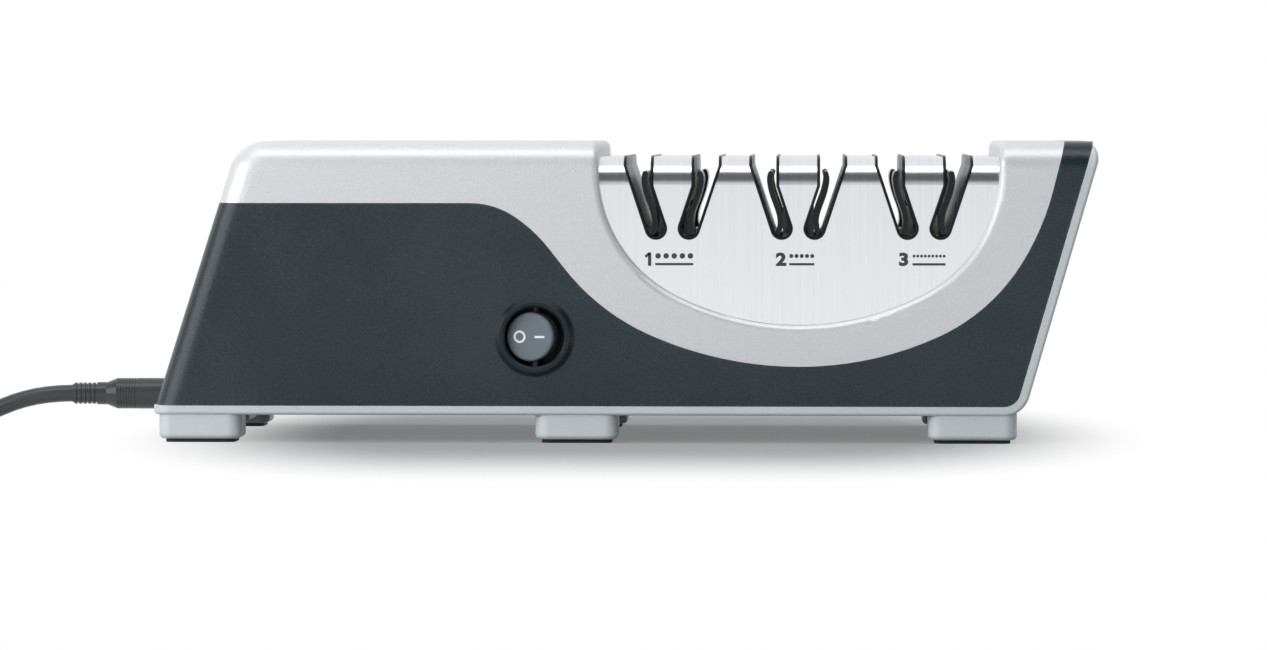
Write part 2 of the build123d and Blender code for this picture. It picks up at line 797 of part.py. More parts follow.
def make_disc(x, side):
    """A grinding disc pressed on its hub, on the left or right of a stage."""
    face = disc_face
    bore = shaft_radius + running_gap
    inner_face, hub_face = face - disc_plate, face + hub_out
    plate_line = [(inner_face, hub_radius), (inner_face, disc_radius), (face, disc_radius), (face, hub_radius)]
    hub_line = [(inner_face, bore), (inner_face, hub_radius), (hub_face, hub_radius), (hub_face, bore)]
    plate, hub = (turned([(x + side * a, r) for a, r in line]) for line in (plate_line, hub_line))
    pin_room = drive_pin_radius + running_gap + pin_play
    pin_x = x + side * (hub_face - pin_inset)
    slot = block(-disc_travel - pin_room, pin_room, -pin_room, pin_room, -hub_radius - over, hub_radius + over)
    if side < 0:
        slot = mirror(slot, about=Plane.YZ)
    return group([plate, hub - Pos(pin_x, 0, shaft_z) * slot])


def drive_pin_x(x, side):
    return x + side * (disc_face + hub_out - pin_inset - disc_travel)


def make_drive_pins():
    reach = hub_radius - pin_end_gap
    spots = [drive_pin_x(x, side) for x in stage_x for side in (-1, 1)]
    return group([post(x, 0, shaft_z - reach, shaft_z + reach, drive_pin_radius) for x in spots])


def make_disc_springs():
    springs = []
    for x in stage_x:
        reach = disc_face - disc_plate - disc_wire - spring_end_gap
        pitch = 2 * reach / spring_turns
        path = Helix(pitch, 2 * reach, disc_spring_radius)
        start = Plane(origin=path @ 0, z_dir=path % 0)
        coil = sweep(start * Circle(disc_wire), path=path)
        springs.append(Pos(x - reach, 0, shaft_z) * Rot(0, 90, 0) * coil)
    return group(springs)


def make_retaining_rings():
    rings = []
    for x in stage_x:
        for side in (-1, 1):
            a = x + side * (disc_face + hub_out + ring_gap)
            b = a + side * ring_width
            ring = along_x(min(a, b), max(a, b), ring_radius)
            rings.append(ring - along_x(min(a, b) - over, max(a, b) + over, shaft_radius - ring_bite))
    return group(rings)


def make_grinding_shaft():
    shaft = along_x(shaft_left, shaft_right, shaft_radius)
    for x in stage_x:
        for side in (-1, 1):
            a = x + side * (disc_face + hub_out + ring_gap)
            b = a + side * ring_width
            groove = along_x(min(a, b), max(a, b), shaft_radius + over)
            shaft = shaft - (groove - along_x(min(a, b), max(a, b), shaft_radius - ring_bite))
            shaft = shaft - post(drive_pin_x(x, side), 0, shaft_z - hub_radius, shaft_z + hub_radius, drive_pin_radius)
    return one(shaft)


def make_shaft_bearings():
    bearings = []
    for x in bearing_x:
        ring = along_x(x - bearing_width / 2, x + bearing_width / 2, bearing_radius)
        bearings.append(ring - along_x(x - bearing_width, x + bearing_width, shaft_radius + running_gap))
    return group(bearings)


def bearing_seat(x):
    half = bearing_width / 2 + seat_end_gap
    return along_x(x - half, x + half, bearing_radius + seat_gap)


def shaft_room(x):
    return along_x(x - block_width, x + block_width, shaft_radius + shaft_clearance)


def make_bearing_blocks():
    blocks = []
    for x in bearing_x:
        near, far = x - block_width / 2, x + block_width / 2
        body = block(near, far, -block_half_depth, block_half_depth, base_top, shaft_z)
        toe_left = near - flange_toe if x > dome_x else near
        toe_right = far + flange_toe if x < dome_x else far
        flange = block(toe_left, toe_right, -flange_half_depth, flange_half_depth, base_top, base_top + flange_height)
        body = body + flange
        body = body - bearing_seat(x) - shaft_room(x)
        for side in (-1, 1):
            body = body - post(x, side * ear_screw_y, shaft_z - ear_hole_depth, shaft_z + over, screw_radius)
        blocks.append(body)
    return group([b - block_holes(base_bottom) for b in blocks])


def block_screw_spots():
    return [(x, side * block_screw_y) for x in bearing_x for side in (-1, 1)]


def block_holes(bottom):
    holes = None
    for x, y in block_screw_spots():
        hole = post(x, y, bottom, base_top + flange_height + over, screw_radius)
        holes = hole if holes is None else holes + hole
    return holes


def make_bearing_caps():
    caps = []
    for x in bearing_x:
        near, far = x - block_width / 2, x + block_width / 2
        body = along_x(near, far, bearing_radius + block_cap)
        body = body + block(near, far, -block_half_depth, block_half_depth, shaft_z, shaft_z + block_ear)
        body = body & block(near, far, -block_half_depth, block_half_depth, shaft_z + cap_gap, shaft_z + tall)
        body = body - bearing_seat(x) - shaft_room(x)
        for side in (-1, 1):
            y = side * ear_screw_y
            body = body - post(x, y, shaft_z - over, shaft_z + tall, screw_radius + screw_gap)
            body = body - post(x, y, shaft_z + block_ear, shaft_z + tall, screw_head_radius + screw_gap)
        caps.append(body)
    return group(caps)


# ---- Motor --------------------------------------------------------------------------
def make_motor_can():
    can = along_x(motor_left, motor_right, motor_radius)
    can = can - along_x(motor_left + motor_wall, motor_right + over, motor_radius - motor_wall)
    seat = motor_bearing_left() - seat_end_gap
    can = can + along_x(seat - over, seat + motor_bearing_width, motor_bearing_radius + boss_wall)
    can = can - along_x(seat, seat + motor_bearing_width + over, motor_bearing_radius + seat_gap)
    can = can - along_x(motor_left - over, seat + over, motor_shaft_radius + motor_hole_gap)
    for k in range(motor_vents):
        turn = Pos(motor_left + vent_left, 0, shaft_z) * Rot(360 / motor_vents * k, 0, 0)
        can = can - turn * Pos(0, motor_radius, 0) * Box(*vent_box)
    return one(can)


def make_motor_end_bell():
    lip_radius = motor_radius - motor_wall - motor_gap
    lip_left, seat = motor_right - bell_lip, motor_bearing_right() + motor_bearing_width + seat_end_gap
    bell = along_x(motor_right + motor_gap, motor_right + bell_width, motor_radius)
    bell = bell + along_x(lip_left, motor_right + over, lip_radius)
    bell = bell - along_x(lip_left - over, motor_bearing_right(), lip_radius - bell_lip_wall)
    bell = bell - along_x(lip_left - over, seat, motor_bearing_radius + seat_gap)
    bell = bell - along_x(motor_right, motor_right + bell_width + over, motor_shaft_radius + motor_hole_gap)
    for k in range(motor_vents):
        turn = Pos(motor_right, 0, shaft_z) * Rot(360 / motor_vents * (k + 0.5), 0, 0)
        bell = bell - turn * Pos(0, bell_hole_circle, 0) * Rot(0, 90, 0) * Cylinder(bell_hole_radius, 4 * bell_width)
    return one(bell)


def make_motor_magnets():
    left, right = rotor_left - magnet_past, rotor_right + magnet_past
    ring = along_x(left, right, magnet_radius) - along_x(left - over, right + over, rotor_radius + air_gap)
    low, high = shaft_z - magnet_gap_half, shaft_z + magnet_gap_half
    return group([ring - block(left - over, right + over, -motor_radius, motor_radius, low, high)])


def motor_bearing_left():
    return motor_left + motor_bearing_inset


def motor_bearing_right():
    return motor_right + bell_bearing_inset


def make_motor_bearings():
    rings = []
    for left in (motor_bearing_left(), motor_bearing_right()):
        ring = along_x(left, left + motor_bearing_width, motor_bearing_radius)
        rings.append(ring - along_x(left - over, left + motor_bearing_width + over, motor_shaft_radius + running_gap))
    return group(rings)


def make_motor_shaft():
    return one(along_x(motor_shaft_left, motor_shaft_right, motor_shaft_radius))


def make_rotor_core():
    left, right = rotor_left - over, rotor_right + over
    core = along_x(rotor_left, rotor_right, rotor_radius) - along_x(left, right, motor_shaft_radius)
    near, far = rotor_radius - rotor_slot_depth, rotor_radius + over
    slot = block(left, right, near, far, -rotor_slot_half, rotor_slot_half)
    for k in range(rotor_slots):
        core = core - Pos(0, 0, shaft_z) * Rot(360 / rotor_slots * k, 0, 0) * slot
    return one(core)


def make_rotor_windings():
    ends = []
    for left in (rotor_left - winding_length, rotor_right):
        right = left + winding_length
        bundle = along_x(left, right, rotor_radius - winding_inset)
        bundle = fillet(bundle.edges().filter_by(GeomType.CIRCLE), winding_round)
        ends.append(bundle - along_x(left - over, right + over, motor_shaft_radius))
    return group(ends)


def make_commutator():
    right = commutator_left + commutator_length
    ring = along_x(commutator_left, right, commutator_radius)
    return one(ring - along_x(commutator_left - over, right + over, motor_shaft_radius))


def make_motor_brushes():
    brushes = []
    middle = commutator_left + commutator_length / 2
    for side in (-1, 1):
        inner, outer = commutator_radius + brush_gap, motor_radius - motor_wall - brush_back_gap
        near, far = sorted((side * inner, side * outer))
        low, high = shaft_z - brush_half_height, shaft_z + brush_half_height
        brushes.append(block(middle - brush_half, middle + brush_half, near, far, low, high))
    return group(brushes)


def make_cooling_fan():
    half = fan_width / 2
    fan = along_x(fan_x - half, fan_x + half, fan_hub_radius)
    fan = fan + along_x(fan_x + half - fan_disc, fan_x + half, fan_radius)
    for k in range(fan_blades):
        near, far = fan_hub_radius - fan_root, fan_radius - fan_tip_gap
        blade = block(-half, half, near, far, -fan_blade / 2, fan_blade / 2)
        fan = fan + Pos(fan_x, 0, shaft_z) * Rot(360 / fan_blades * k, 0, 0) * blade
    return one(fan - along_x(fan_x - half - over, fan_x + half + over, motor_shaft_radius))


def make_motor_cradle():
    left, right = cradle_x[0] - cradle_width / 2, cradle_x[1] + cradle_width / 2
    depth, floor_top = cradle_half_depth, base_top + cradle_plate
    plate = block(left, right, -depth, depth, base_top, floor_top)
    left, right = cradle_x[0] + cradle_width, cradle_x[1] - cradle_width
    plate = plate - block(left, right, -cradle_open_half, cradle_open_half, base_top - over, floor_top + over)
    for x in cradle_x:
        left, right = x - cradle_width / 2, x + cradle_width / 2
        plate = plate + block(left, right, -depth, depth, base_top, shaft_z - strap_gap)
        plate = plate - along_x(left - over, right + over, motor_radius + motor_gap)
        cut_top = shaft_z - motor_radius - cradle_saddle
        plate = plate - block(left - over, right + over, -cradle_cut_half, cradle_cut_half, floor_top, cut_top)
        for side in (-1, 1):
            y = side * (motor_radius + strap_screw_out)
            low, high = shaft_z - strap_screw_depth, shaft_z + over
            plate = plate - post(x, y, low, high, screw_radius - strap_hole_less)
    return one(plate - cradle_holes(base_bottom))


def cradle_screw_spots():
    x_middle = sum(cradle_x) / 2
    return [(x_middle + way * cradle_screw_x, side * cradle_screw_y) for way in (-1, 1) for side in (-1, 1)]


def cradle_holes(bottom):
    holes = None
    for x, y in cradle_screw_spots():
        hole = post(x, y, bottom, base_top + cradle_plate + over, screw_radius)
        holes = hole if holes is None else holes + hole
    return holes


def make_motor_straps():
    straps = []
    for x in cradle_x:
        left, right = x - cradle_width / 2 + strap_inset, x + cradle_width / 2 - strap_inset
        depth = cradle_half_depth + strap_past
        band = along_x(left, right, motor_radius + motor_gap + strap)
        band = band + block(left, right, -depth, depth, shaft_z, shaft_z + strap)
        band = band & block(left, right, -depth, depth, shaft_z, shaft_z + tall)
        band = band - along_x(left - over, right + over, motor_radius + motor_gap)
        straps.append(band)
    return group(straps)


# ---- Coupling -------------------------------------------------------------------------
def wedge(left, right, inner, outer, middle, turn):
    """A piece of a ring along X, centred on an angle."""
    ring = along_x(left, right, outer) - along_x(left - over, right + over, inner)
    reach = outer * 2
    a, b = radians(middle - turn / 2), radians(middle + turn / 2)
    flat = make_face(Polyline((0, 0), (reach * cos(a), reach * sin(a)), (reach * cos(b), reach * sin(b)), close=True))
    return ring & Pos(0, 0, shaft_z) * from_left(flat, left - over, right + over)


def jaw_left():
    return coupling_left + coupling_body


def jaw_right():
    return jaw_left() + coupling_jaw


def make_coupling_motor_half():
    half = along_x(coupling_left, jaw_left(), coupling_radius)
    for k in range(3):
        half = half + wedge(jaw_left() - over, jaw_right() - spider_gap, jaw_inner, coupling_radius, 120 * k, jaw_turn)
    return one(half - along_x(coupling_left - over, jaw_left() + over, motor_shaft_radius))


def make_coupling_shaft_half():
    right = jaw_right() + coupling_body
    half = along_x(jaw_right(), right, coupling_radius)
    for k in range(3):
        turn = 120 * k + 60
        half = half + wedge(jaw_left() + spider_gap, jaw_right() + over, jaw_inner, coupling_radius, turn, jaw_turn)
    return one(half - along_x(jaw_right() - over, right + over, shaft_radius))


def make_coupling_spider():
    left, right = jaw_left() + spider_gap, jaw_right() - spider_gap
    hub = along_x(left, right, spider_hub) - along_x(left - over, right + over, shaft_radius + spider_gap)
    for k in range(6):
        hub = hub + wedge(left, right, spider_arm_inner, coupling_radius - spider_gap, 60 * k + 30, spider_turn)
    return one(hub)


# ---- Switch -----------------------------------------------------------------------------
def make_switch_bezel():
    front = -half_depth - bezel_proud
    bezel = along_y(front, -half_depth, bezel_radius, switch_x, switch_z)
    rim = [e for e in bezel.edges().filter_by(GeomType.CIRCLE) if e.center().Y < front + near_by]
    bezel = chamfer(rim, bezel_proud - bezel_flat, bezel_chamfer_in)
    bezel = bezel + along_y(-half_depth, sleeve_back, sleeve_radius, switch_x, switch_z)
    bezel = bezel - along_y(front - over, sleeve_back + over, switch_bore, switch_x, switch_z)
    mouth = [e for e in bezel.edges().filter_by(GeomType.CIRCLE)
             if e.center().Y < front + near_by and abs(e.radius - switch_bore) < near_by]
    bezel = chamfer(mouth, mouth_chamfer)
    pin_hole = rocker_pin_radius + running_gap
    reach = rocker_pin_reach + running_gap
    return one(bezel - post(switch_x, rocker_pivot_y, switch_z - reach, switch_z + reach, pin_hole))


def make_switch_body():
    body = along_y(sleeve_back, switch_back, sleeve_radius, switch_x, switch_z)
    return one(body - along_y(sleeve_back - over, sleeve_back + switch_room, switch_bore, switch_x, switch_z))


def make_switch_rocker():
    head = along_y(-rocker_reach, -rocker_head_back, rocker_radius, 0, 0)
    face = [e for e in head.edges().filter_by(GeomType.CIRCLE) if e.center().Y < -rocker_reach + near_by]
    head = fillet(face, rocker_edge_radius)
    stem = block(-stem_half, stem_half, -over, stem_length, -stem_half_height, stem_half_height)
    stem = chamfer(stem.faces().sort_by(Axis.Y)[-1].edges().filter_by(Axis.Z), stem_chamfer)
    rocker = head + stem + post(0, 0, -rocker_pin_reach, rocker_pin_reach, rocker_pin_radius)
    return one(Pos(switch_x, rocker_pivot_y, switch_z) * Rot(0, 0, -rocker_tilt) * rocker)


def terminal_spots():
    return [(switch_x + a * terminal_x, switch_z + b * terminal_z) for a in (-1, 1) for b in (-1, 1)]


def make_switch_terminals():
    blades = []
    for x, z in terminal_spots():
        left, right = x - terminal_half, x + terminal_half
        low, high = z - terminal_half_height, z + terminal_half_height
        blades.append(block(left, right, switch_back, switch_back + terminal_length, low, high))
    return group(blades)


# ---- Electrics --------------------------------------------------------------------------
def make_rectifier_board():
    left, right, near, far = board_box
    return one(block(left, right, near, far, board_z, board_z + board))


def make_board_spacers():
    left, right, near, far = board_box
    inset = spacer_inset
    spots = [(x, y) for x in (left + inset, right - inset) for y in (near + inset, far - inset)]
    return group([post(x, y, base_top, board_z, spacer_radius) for x, y in spots])


def on_board(spot):
    """A point of the board, measured from its left near corner."""
    return board_box[0] + spot[0], board_box[2] + spot[1]


def board_brick(spot, size):
    (x, y), top = on_board(spot), board_z + board
    return block(x, x + size[0], y, y + size[1], top, top + size[2])


def make_board_components():
    top = board_z + board
    capacitor = board_brick(capacitor_spot, capacitor_size)
    capacitor = fillet(capacitor.edges().filter_by(Axis.Z), capacitor_edge)
    rectifier = board_brick(rectifier_spot, rectifier_size)
    x, y = on_board(fuse_spot)
    fuse = along_x(x, x + fuse_length, fuse_radius, y=y, z=top + fuse_radius)
    x, y = on_board(choke_spot)
    choke = post(x, y, top, top + choke_height, choke_radius)
    return group([capacitor, rectifier, fuse, choke])


def make_internal_wires():
    left, apart = tail_right, wire_apart
    to_switch = [
        (left, -apart, cord_z), (left + 4, -apart, cord_z), (left + 8, -14, 17), (left + 11, -30, 17.5),
        (left + 23, -37.5, 18), (-66, -38, 19), (-50, -30, 22), (-42, -17.5, 29), (switch_x - 5, -16, switch_z - 5),
    ]
    middle, edge = board_z + board / 2, board_box[0]
    to_board = [
        (left, apart, cord_z), (left + 4, apart, cord_z), (left + 8, 14, 17), (left + 11, 30, 17.5),
        (left + 23, 37.5, 18), (edge - 15, 38, middle), (edge, 38, middle),
    ]
    return group([tube(route, wire_diameter) for route in (to_switch, to_board)])


# ---- Cord ---------------------------------------------------------------------------------
def ribs(first, pitch, width, count, high, low):
    """The outline of a row of grooves or ribs, from right to left."""
    line = []
    for k in range(count):
        x = first - k * pitch
        line += [(x, high), (x, low), (x - width, low), (x - width, high)]
    return line


def make_strain_relief():
    left = collar_right - collar_width
    outline = [(tail_right, 0), (tail_right, tail_radius), (collar_right, tail_radius)]
    outline += [(collar_right, collar_radius), (left, collar_radius), (left, relief_radius)]
    low = relief_radius - relief_groove
    outline += ribs(groove_first, groove_pitch, groove_width, strain_relief_grooves, relief_radius, low)
    neck_x = relief_taper[-1][0]
    outline += relief_taper + [(neck_x, neck_core)]
    outline += ribs(neck_x - neck_rib_gap, neck_rib_pitch, neck_rib_width, neck_ribs, neck_core, neck_rib)
    outline += [(relief_end_x, neck_core), (relief_end_x, 0)]
    return one(turned(outline, z=cord_z))


def make_cord_clamp():
    left, right = clamp_x - clamp_width / 2, clamp_x + clamp_width / 2
    bar = block(left, right, -clamp_half, clamp_half, base_top, clamp_top)
    bar = fillet(bar.edges().filter_by(Axis.X).sort_by(Axis.Z)[-2:], clamp_round)
    hole = tail_radius + clamp_play
    bar = bar - along_x(left - over, right + over, hole, z=cord_z)
    bar = bar - block(left - over, right + over, -hole, hole, saddle_bottom, cord_z)
    return one(bar - clamp_holes(base_bottom))


def clamp_holes(bottom):
    near = post(clamp_x, -clamp_screw_y, bottom, clamp_top + over, screw_radius)
    return near + post(clamp_x, clamp_screw_y, bottom, clamp_top + over, screw_radius)


def make_power_cord():
    return one(tube(cord_route, cord_diameter, "power_cord"))


def make_cord_tail():
    return one(tube(tail_route, cord_diameter, "cord_tail"))


def make_cord_coil():
    x, y = coil_centre
    ring = post(x, y, 0, coil_height, coil_radius + coil_width / 2)
    ring = ring - post(x, y, -over, coil_height + over, coil_radius - coil_width / 2)
    return one(fillet(ring.edges().filter_by(GeomType.CIRCLE), coil_edge))


def plug_place():
    """The plug's frame: its origin at the cord's end, x along the plug."""
    return Plane(origin=tail_route[-1], x_dir=(0, -1, 0), z_dir=(0, 0, 1)).location


def make_power_plug():
    boot = Pos(plug_boot / 2, 0, 0) * Rot(0, 90, 0) * Cone(*plug_boot_radii, plug_boot)
    start, wide, narrow = plug_boot - over, plug_half_width, plug_shoulder
    neck_end, wide_start = plug_boot + plug_taper[0], plug_length - plug_taper[1]
    half = [(start, narrow), (neck_end, narrow), (wide_start, wide), (plug_length, wide)]
    flat = make_face(Polyline(*half, *[(x, -y) for x, y in reversed(half)], close=True))
    body = Pos(0, 0, -plug_half_thick) * extrude(flat, amount=2 * plug_half_thick)
    body = fillet(body.edges().filter_by(GeomType.LINE).filter_by(Plane.XY), plug_edge)
    return one(plug_place() * (body + boot))


def make_plug_pins():
    pins = []
    for side in (-1, 1):
        pin = Pos(plug_length + plug_pin_length / 2, side * plug_pin_spacing / 2, 0) * Rot(0, 90, 0)
        pin = pin * Cylinder(plug_pin_radius, plug_pin_length)
        pins.append(plug_place() * pin)
    return group(pins)


# ---- Screws ---------------------------------------------------------------------------------
def screw(x, y, bottom, top, head_up=True):
    """A round-headed screw with its shank between two heights."""
    shank = post(x, y, bottom, top, screw_radius - seat_gap)
    if head_up:
        return shank + post(x, y, top, top + screw_head, screw_head_radius)
    return shank + post(x, y, bottom - screw_head, bottom, screw_head_radius)


def make_case_screws():
    spots = [(x, side * case_screw_y) for x in case_screw_x for side in (-1, 1)]
    seat = base_bottom + screw_head + screw_gap
    return group([screw(x, y, seat, case_boss_top - case_screw_short, head_up=False) for x, y in spots])


def make_inner_screws():
    screws = []
    foot = base_bottom + hole_floor + screw_foot_gap
    for x, y in block_screw_spots():
        screws.append(screw(x, y, foot, base_top + flange_height))
    for x, y in cradle_screw_spots():
        screws.append(screw(x, y, foot, base_top + cradle_plate))
    for side in (-1, 1):
        screws.append(screw(clamp_x, side * clamp_screw_y, saddle_bottom + over, clamp_top))
        for x in (bar_x[0], bar_x[-1]):
            screws.append(screw(x, side * post_y, rail_bottom - post_hole_depth + screw_end_gap, rail_top))
        for x in bearing_x:
            screws.append(screw(x, side * ear_screw_y, shaft_z - ear_hole_depth + screw_end_gap, shaft_z + block_ear))
    return group(screws)


# ---- The whole ---------------------------------------------------------------------------------
def make_parts():
    parts = {
        "base_tray": make_base_tray(),
        "rubber_feet": make_rubber_feet(),
        "main_housing": make_main_housing(),
        "top_cover": make_top_cover(),
        "steel_cover": make_steel_cover(),
        "stage_frame": make_stage_frame(),
        "switch_bezel": make_switch_bezel(),
        "switch_body": make_switch_body(),
        "switch_terminals": make_switch_terminals(),
        "switch_rocker": make_switch_rocker(),
        "strain_relief": make_strain_relief(),
        "cord_clamp": make_cord_clamp(),
        "case_screws": make_case_screws(),
        "inner_screws": make_inner_screws(),
        "motor_can": make_motor_can(),
        "motor_end_bell": make_motor_end_bell(),
        "motor_magnets": make_motor_magnets(),
        "motor_bearings": make_motor_bearings(),
        "motor_brushes": make_motor_brushes(),
        "motor_cradle": make_motor_cradle(),
        "motor_straps": make_motor_straps(),
        "motor_shaft": make_motor_shaft(),
        "rotor_core": make_rotor_core(),
        "rotor_windings": make_rotor_windings(),
        "commutator": make_commutator(),
        "cooling_fan": make_cooling_fan(),
        "coupling_motor_half": make_coupling_motor_half(),
        "coupling_spider": make_coupling_spider(),
        "coupling_shaft_half": make_coupling_shaft_half(),
        "grinding_shaft": make_grinding_shaft(),
        "drive_pins": make_drive_pins(),
        "retaining_rings": make_retaining_rings(),
        "disc_springs": make_disc_springs(),
        "bearing_blocks": make_bearing_blocks(),
        "bearing_caps": make_bearing_caps(),
        "shaft_bearings": make_shaft_bearings(),
        "rectifier_board": make_rectifier_board(),
        "board_spacers": make_board_spacers(),
        "board_components": make_board_components(),
        "internal_wires": make_internal_wires(),
        "power_cord": make_power_cord(),
        "cord_coil": make_cord_coil(),
        "cord_tail": make_cord_tail(),
        "power_plug": make_power_plug(),
        "plug_pins": make_plug_pins(),
    }
    for stage, (x, grit) in enumerate(zip(stage_x, ("coarse", "fine", "polishing")), start=1):
        parts[f"guide_insert_{stage}"] = make_guide_insert(x)
        for side, word in ((-1, "left"), (1, "right")):
            parts[f"{grit}_disc_{word}"] = make_disc(x, side)
            parts[f"guide_spring_{stage}_{word}"] = make_guide_spring(x, side)
    return parts


os.makedirs("parts", exist_ok=True)
for node, shape in make_parts().items():
    export_step(shape, f"parts/{node}.step")
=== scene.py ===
# %% [markdown]
# # Electric knife sharpener
#
# This lesson dresses a finished CAD model of a three-stage knife sharpener. The CAD model is a
# fixed frame: its parts keep their shape and place, and Blender adds finishes, printed marks, the
# mains cord, light and a camera. Loading the frame comes first, because every later step measures
# itself against it.

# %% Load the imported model
import json
import math

import bpy
from mathutils import Matrix, Vector


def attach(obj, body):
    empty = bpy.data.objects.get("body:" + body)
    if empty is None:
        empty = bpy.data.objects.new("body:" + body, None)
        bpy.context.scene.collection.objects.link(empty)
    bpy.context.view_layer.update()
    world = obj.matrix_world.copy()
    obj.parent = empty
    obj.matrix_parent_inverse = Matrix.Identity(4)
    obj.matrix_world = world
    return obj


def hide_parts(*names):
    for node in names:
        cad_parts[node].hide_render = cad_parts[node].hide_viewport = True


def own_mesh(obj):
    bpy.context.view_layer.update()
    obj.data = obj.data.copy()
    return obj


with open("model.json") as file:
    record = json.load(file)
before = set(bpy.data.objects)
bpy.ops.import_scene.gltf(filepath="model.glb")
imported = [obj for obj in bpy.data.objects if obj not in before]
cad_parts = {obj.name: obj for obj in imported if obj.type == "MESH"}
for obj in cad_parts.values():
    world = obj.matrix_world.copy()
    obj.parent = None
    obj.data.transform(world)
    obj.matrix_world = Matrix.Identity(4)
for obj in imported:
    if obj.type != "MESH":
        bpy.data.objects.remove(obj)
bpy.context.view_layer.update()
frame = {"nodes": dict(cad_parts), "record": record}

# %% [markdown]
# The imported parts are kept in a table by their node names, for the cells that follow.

nodes = frame["nodes"]

# %% [markdown]
# Blender works in metres here, and the drawing of the sharpener is in millimetres. A few of its
# sizes are needed again: where the steel's front face lies, where the stages stand, how the switch
# rocker is turned at rest, and how thick the cord is.

# %% Sizes taken from the drawing
MM = 0.001
steel_front = -51.5 * MM
stage_middle = [15.5 * MM, 58.2 * MM, 100.9 * MM]
rocker_tilt = math.radians(15.0)
cord_thickness = 6.0 * MM

# %% [markdown]
# The camera comes early, because it decides what shows. A kitchen appliance is usually shown from
# far away through a long lens, so that its edges stay nearly parallel. The camera stands a
# little to the right of the middle, slightly above the lid, and looks slightly down.

# %% Camera
camera_spot = Vector((62.0, -1717.5, 107.7)) * MM
aim_spot = Vector((2.4, -54.5, 40.3)) * MM
camera_data = bpy.data.cameras.new("camera")
camera_data.lens = 139.4
camera = bpy.data.objects.new("camera", camera_data)
camera.location = camera_spot
camera.rotation_euler = (aim_spot - camera_spot).to_track_quat("-Z", "Y").to_euler()
bpy.context.scene.collection.objects.link(camera)
bpy.context.scene.camera = camera
bpy.context.scene.view_settings.view_transform = "Standard"
print("camera", round((aim_spot - camera_spot).length, 3), "m away")

# %% [markdown]
# A material is a small network of nodes. Two helpers keep that network readable: one turns a
# colour as a screen shows it (0 to 255) into the linear value that a shader takes, and the other
# adds a node and sets its sockets by name.

# %% Helpers for materials
def screen(red, green, blue):
    """A screen colour as the linear colour of a shader."""
    linear = []
    for part in (red, green, blue):
        share = part / 255
        linear.append(share / 12.92 if share < 0.04045 else ((share + 0.055) / 1.055) ** 2.4)
    return (*linear, 1.0)


def put(tree, kind, **values):
    """Add a node. An underscore in a socket's name stands for a space."""
    node = tree.nodes.new("ShaderNode" + kind)
    for name, value in values.items():
        socket = node.inputs.get(name.replace("_", " "))
        if socket is None:
            setattr(node, name, value)
        else:
            socket.default_value = value
    return node


def number_group(name, inputs, outputs):
    """A shader node group with number sockets: (tree, its input node, its output node)."""
    tree = bpy.data.node_groups.new(name, "ShaderNodeTree")
    for label, start in inputs.items():
        socket = tree.interface.new_socket(label, in_out="INPUT", socket_type="NodeSocketFloat")
        socket.default_value = start
    for label in outputs:
        tree.interface.new_socket(label, in_out="OUTPUT", socket_type="NodeSocketFloat")
    return tree, tree.nodes.new("NodeGroupInput"), tree.nodes.new("NodeGroupOutput")


def use_group(tree, group, **values):
    """Place a node group in a material with its own values."""
    node = tree.nodes.new("ShaderNodeGroup")
    node.node_tree = group
    for label, value in values.items():
        node.inputs[label].default_value = value
    return node


def chain(tree, *sockets):
    """Join sockets in pairs: the first feeds the second, the third feeds the fourth."""
    for source, target in zip(sockets[::2], sockets[1::2]):
        tree.links.new(source, target)

# %% [markdown]
# Moulded plastic takes its grain from the mould, which is spark eroded or etched: a fine, even
# field of tiny pits. A noise at about half a millimetre gives the pits, and a slow second noise
# gives the slight unevenness of sheen that large mouldings have. The group hands out a height for
# a Bump node and a shade that changes over the surface.

# %% Mould grain
grain, grain_in, grain_out = number_group("mould_grain", {"Scale": 2000.0}, ["Height", "Shade"])
grain_place = put(grain, "TexCoord")
pits = put(grain, "TexNoise", Detail=3.0, Roughness=0.6)
drift = put(grain, "TexNoise", Scale=28.0, Detail=2.0)
both = put(grain, "Mix", data_type="FLOAT")
both.inputs["Factor"].default_value = 0.6
contrast = put(grain, "MapRange", From_Min=0.36, From_Max=0.64)
chain(
    grain,
    grain_place.outputs["Object"], pits.inputs["Vector"],
    grain_in.outputs["Scale"], pits.inputs["Scale"],
    grain_place.outputs["Object"], drift.inputs["Vector"],
    pits.outputs["Fac"], grain_out.inputs["Height"],
    drift.outputs["Fac"], both.inputs[2],
    pits.outputs["Fac"], both.inputs[3],
    both.outputs[0], contrast.inputs["Value"],
    contrast.outputs["Result"], grain_out.inputs["Shade"],
)
print("group", grain.name, "has", len(grain.nodes), "nodes")

# %% [markdown]
# Edges that hands and cloths touch turn paler and smoother. The Bevel node looks at the surface
# round a point, so where its normal differs from the true one there is an edge. A noise breaks the
# mask up, because wear is never even.

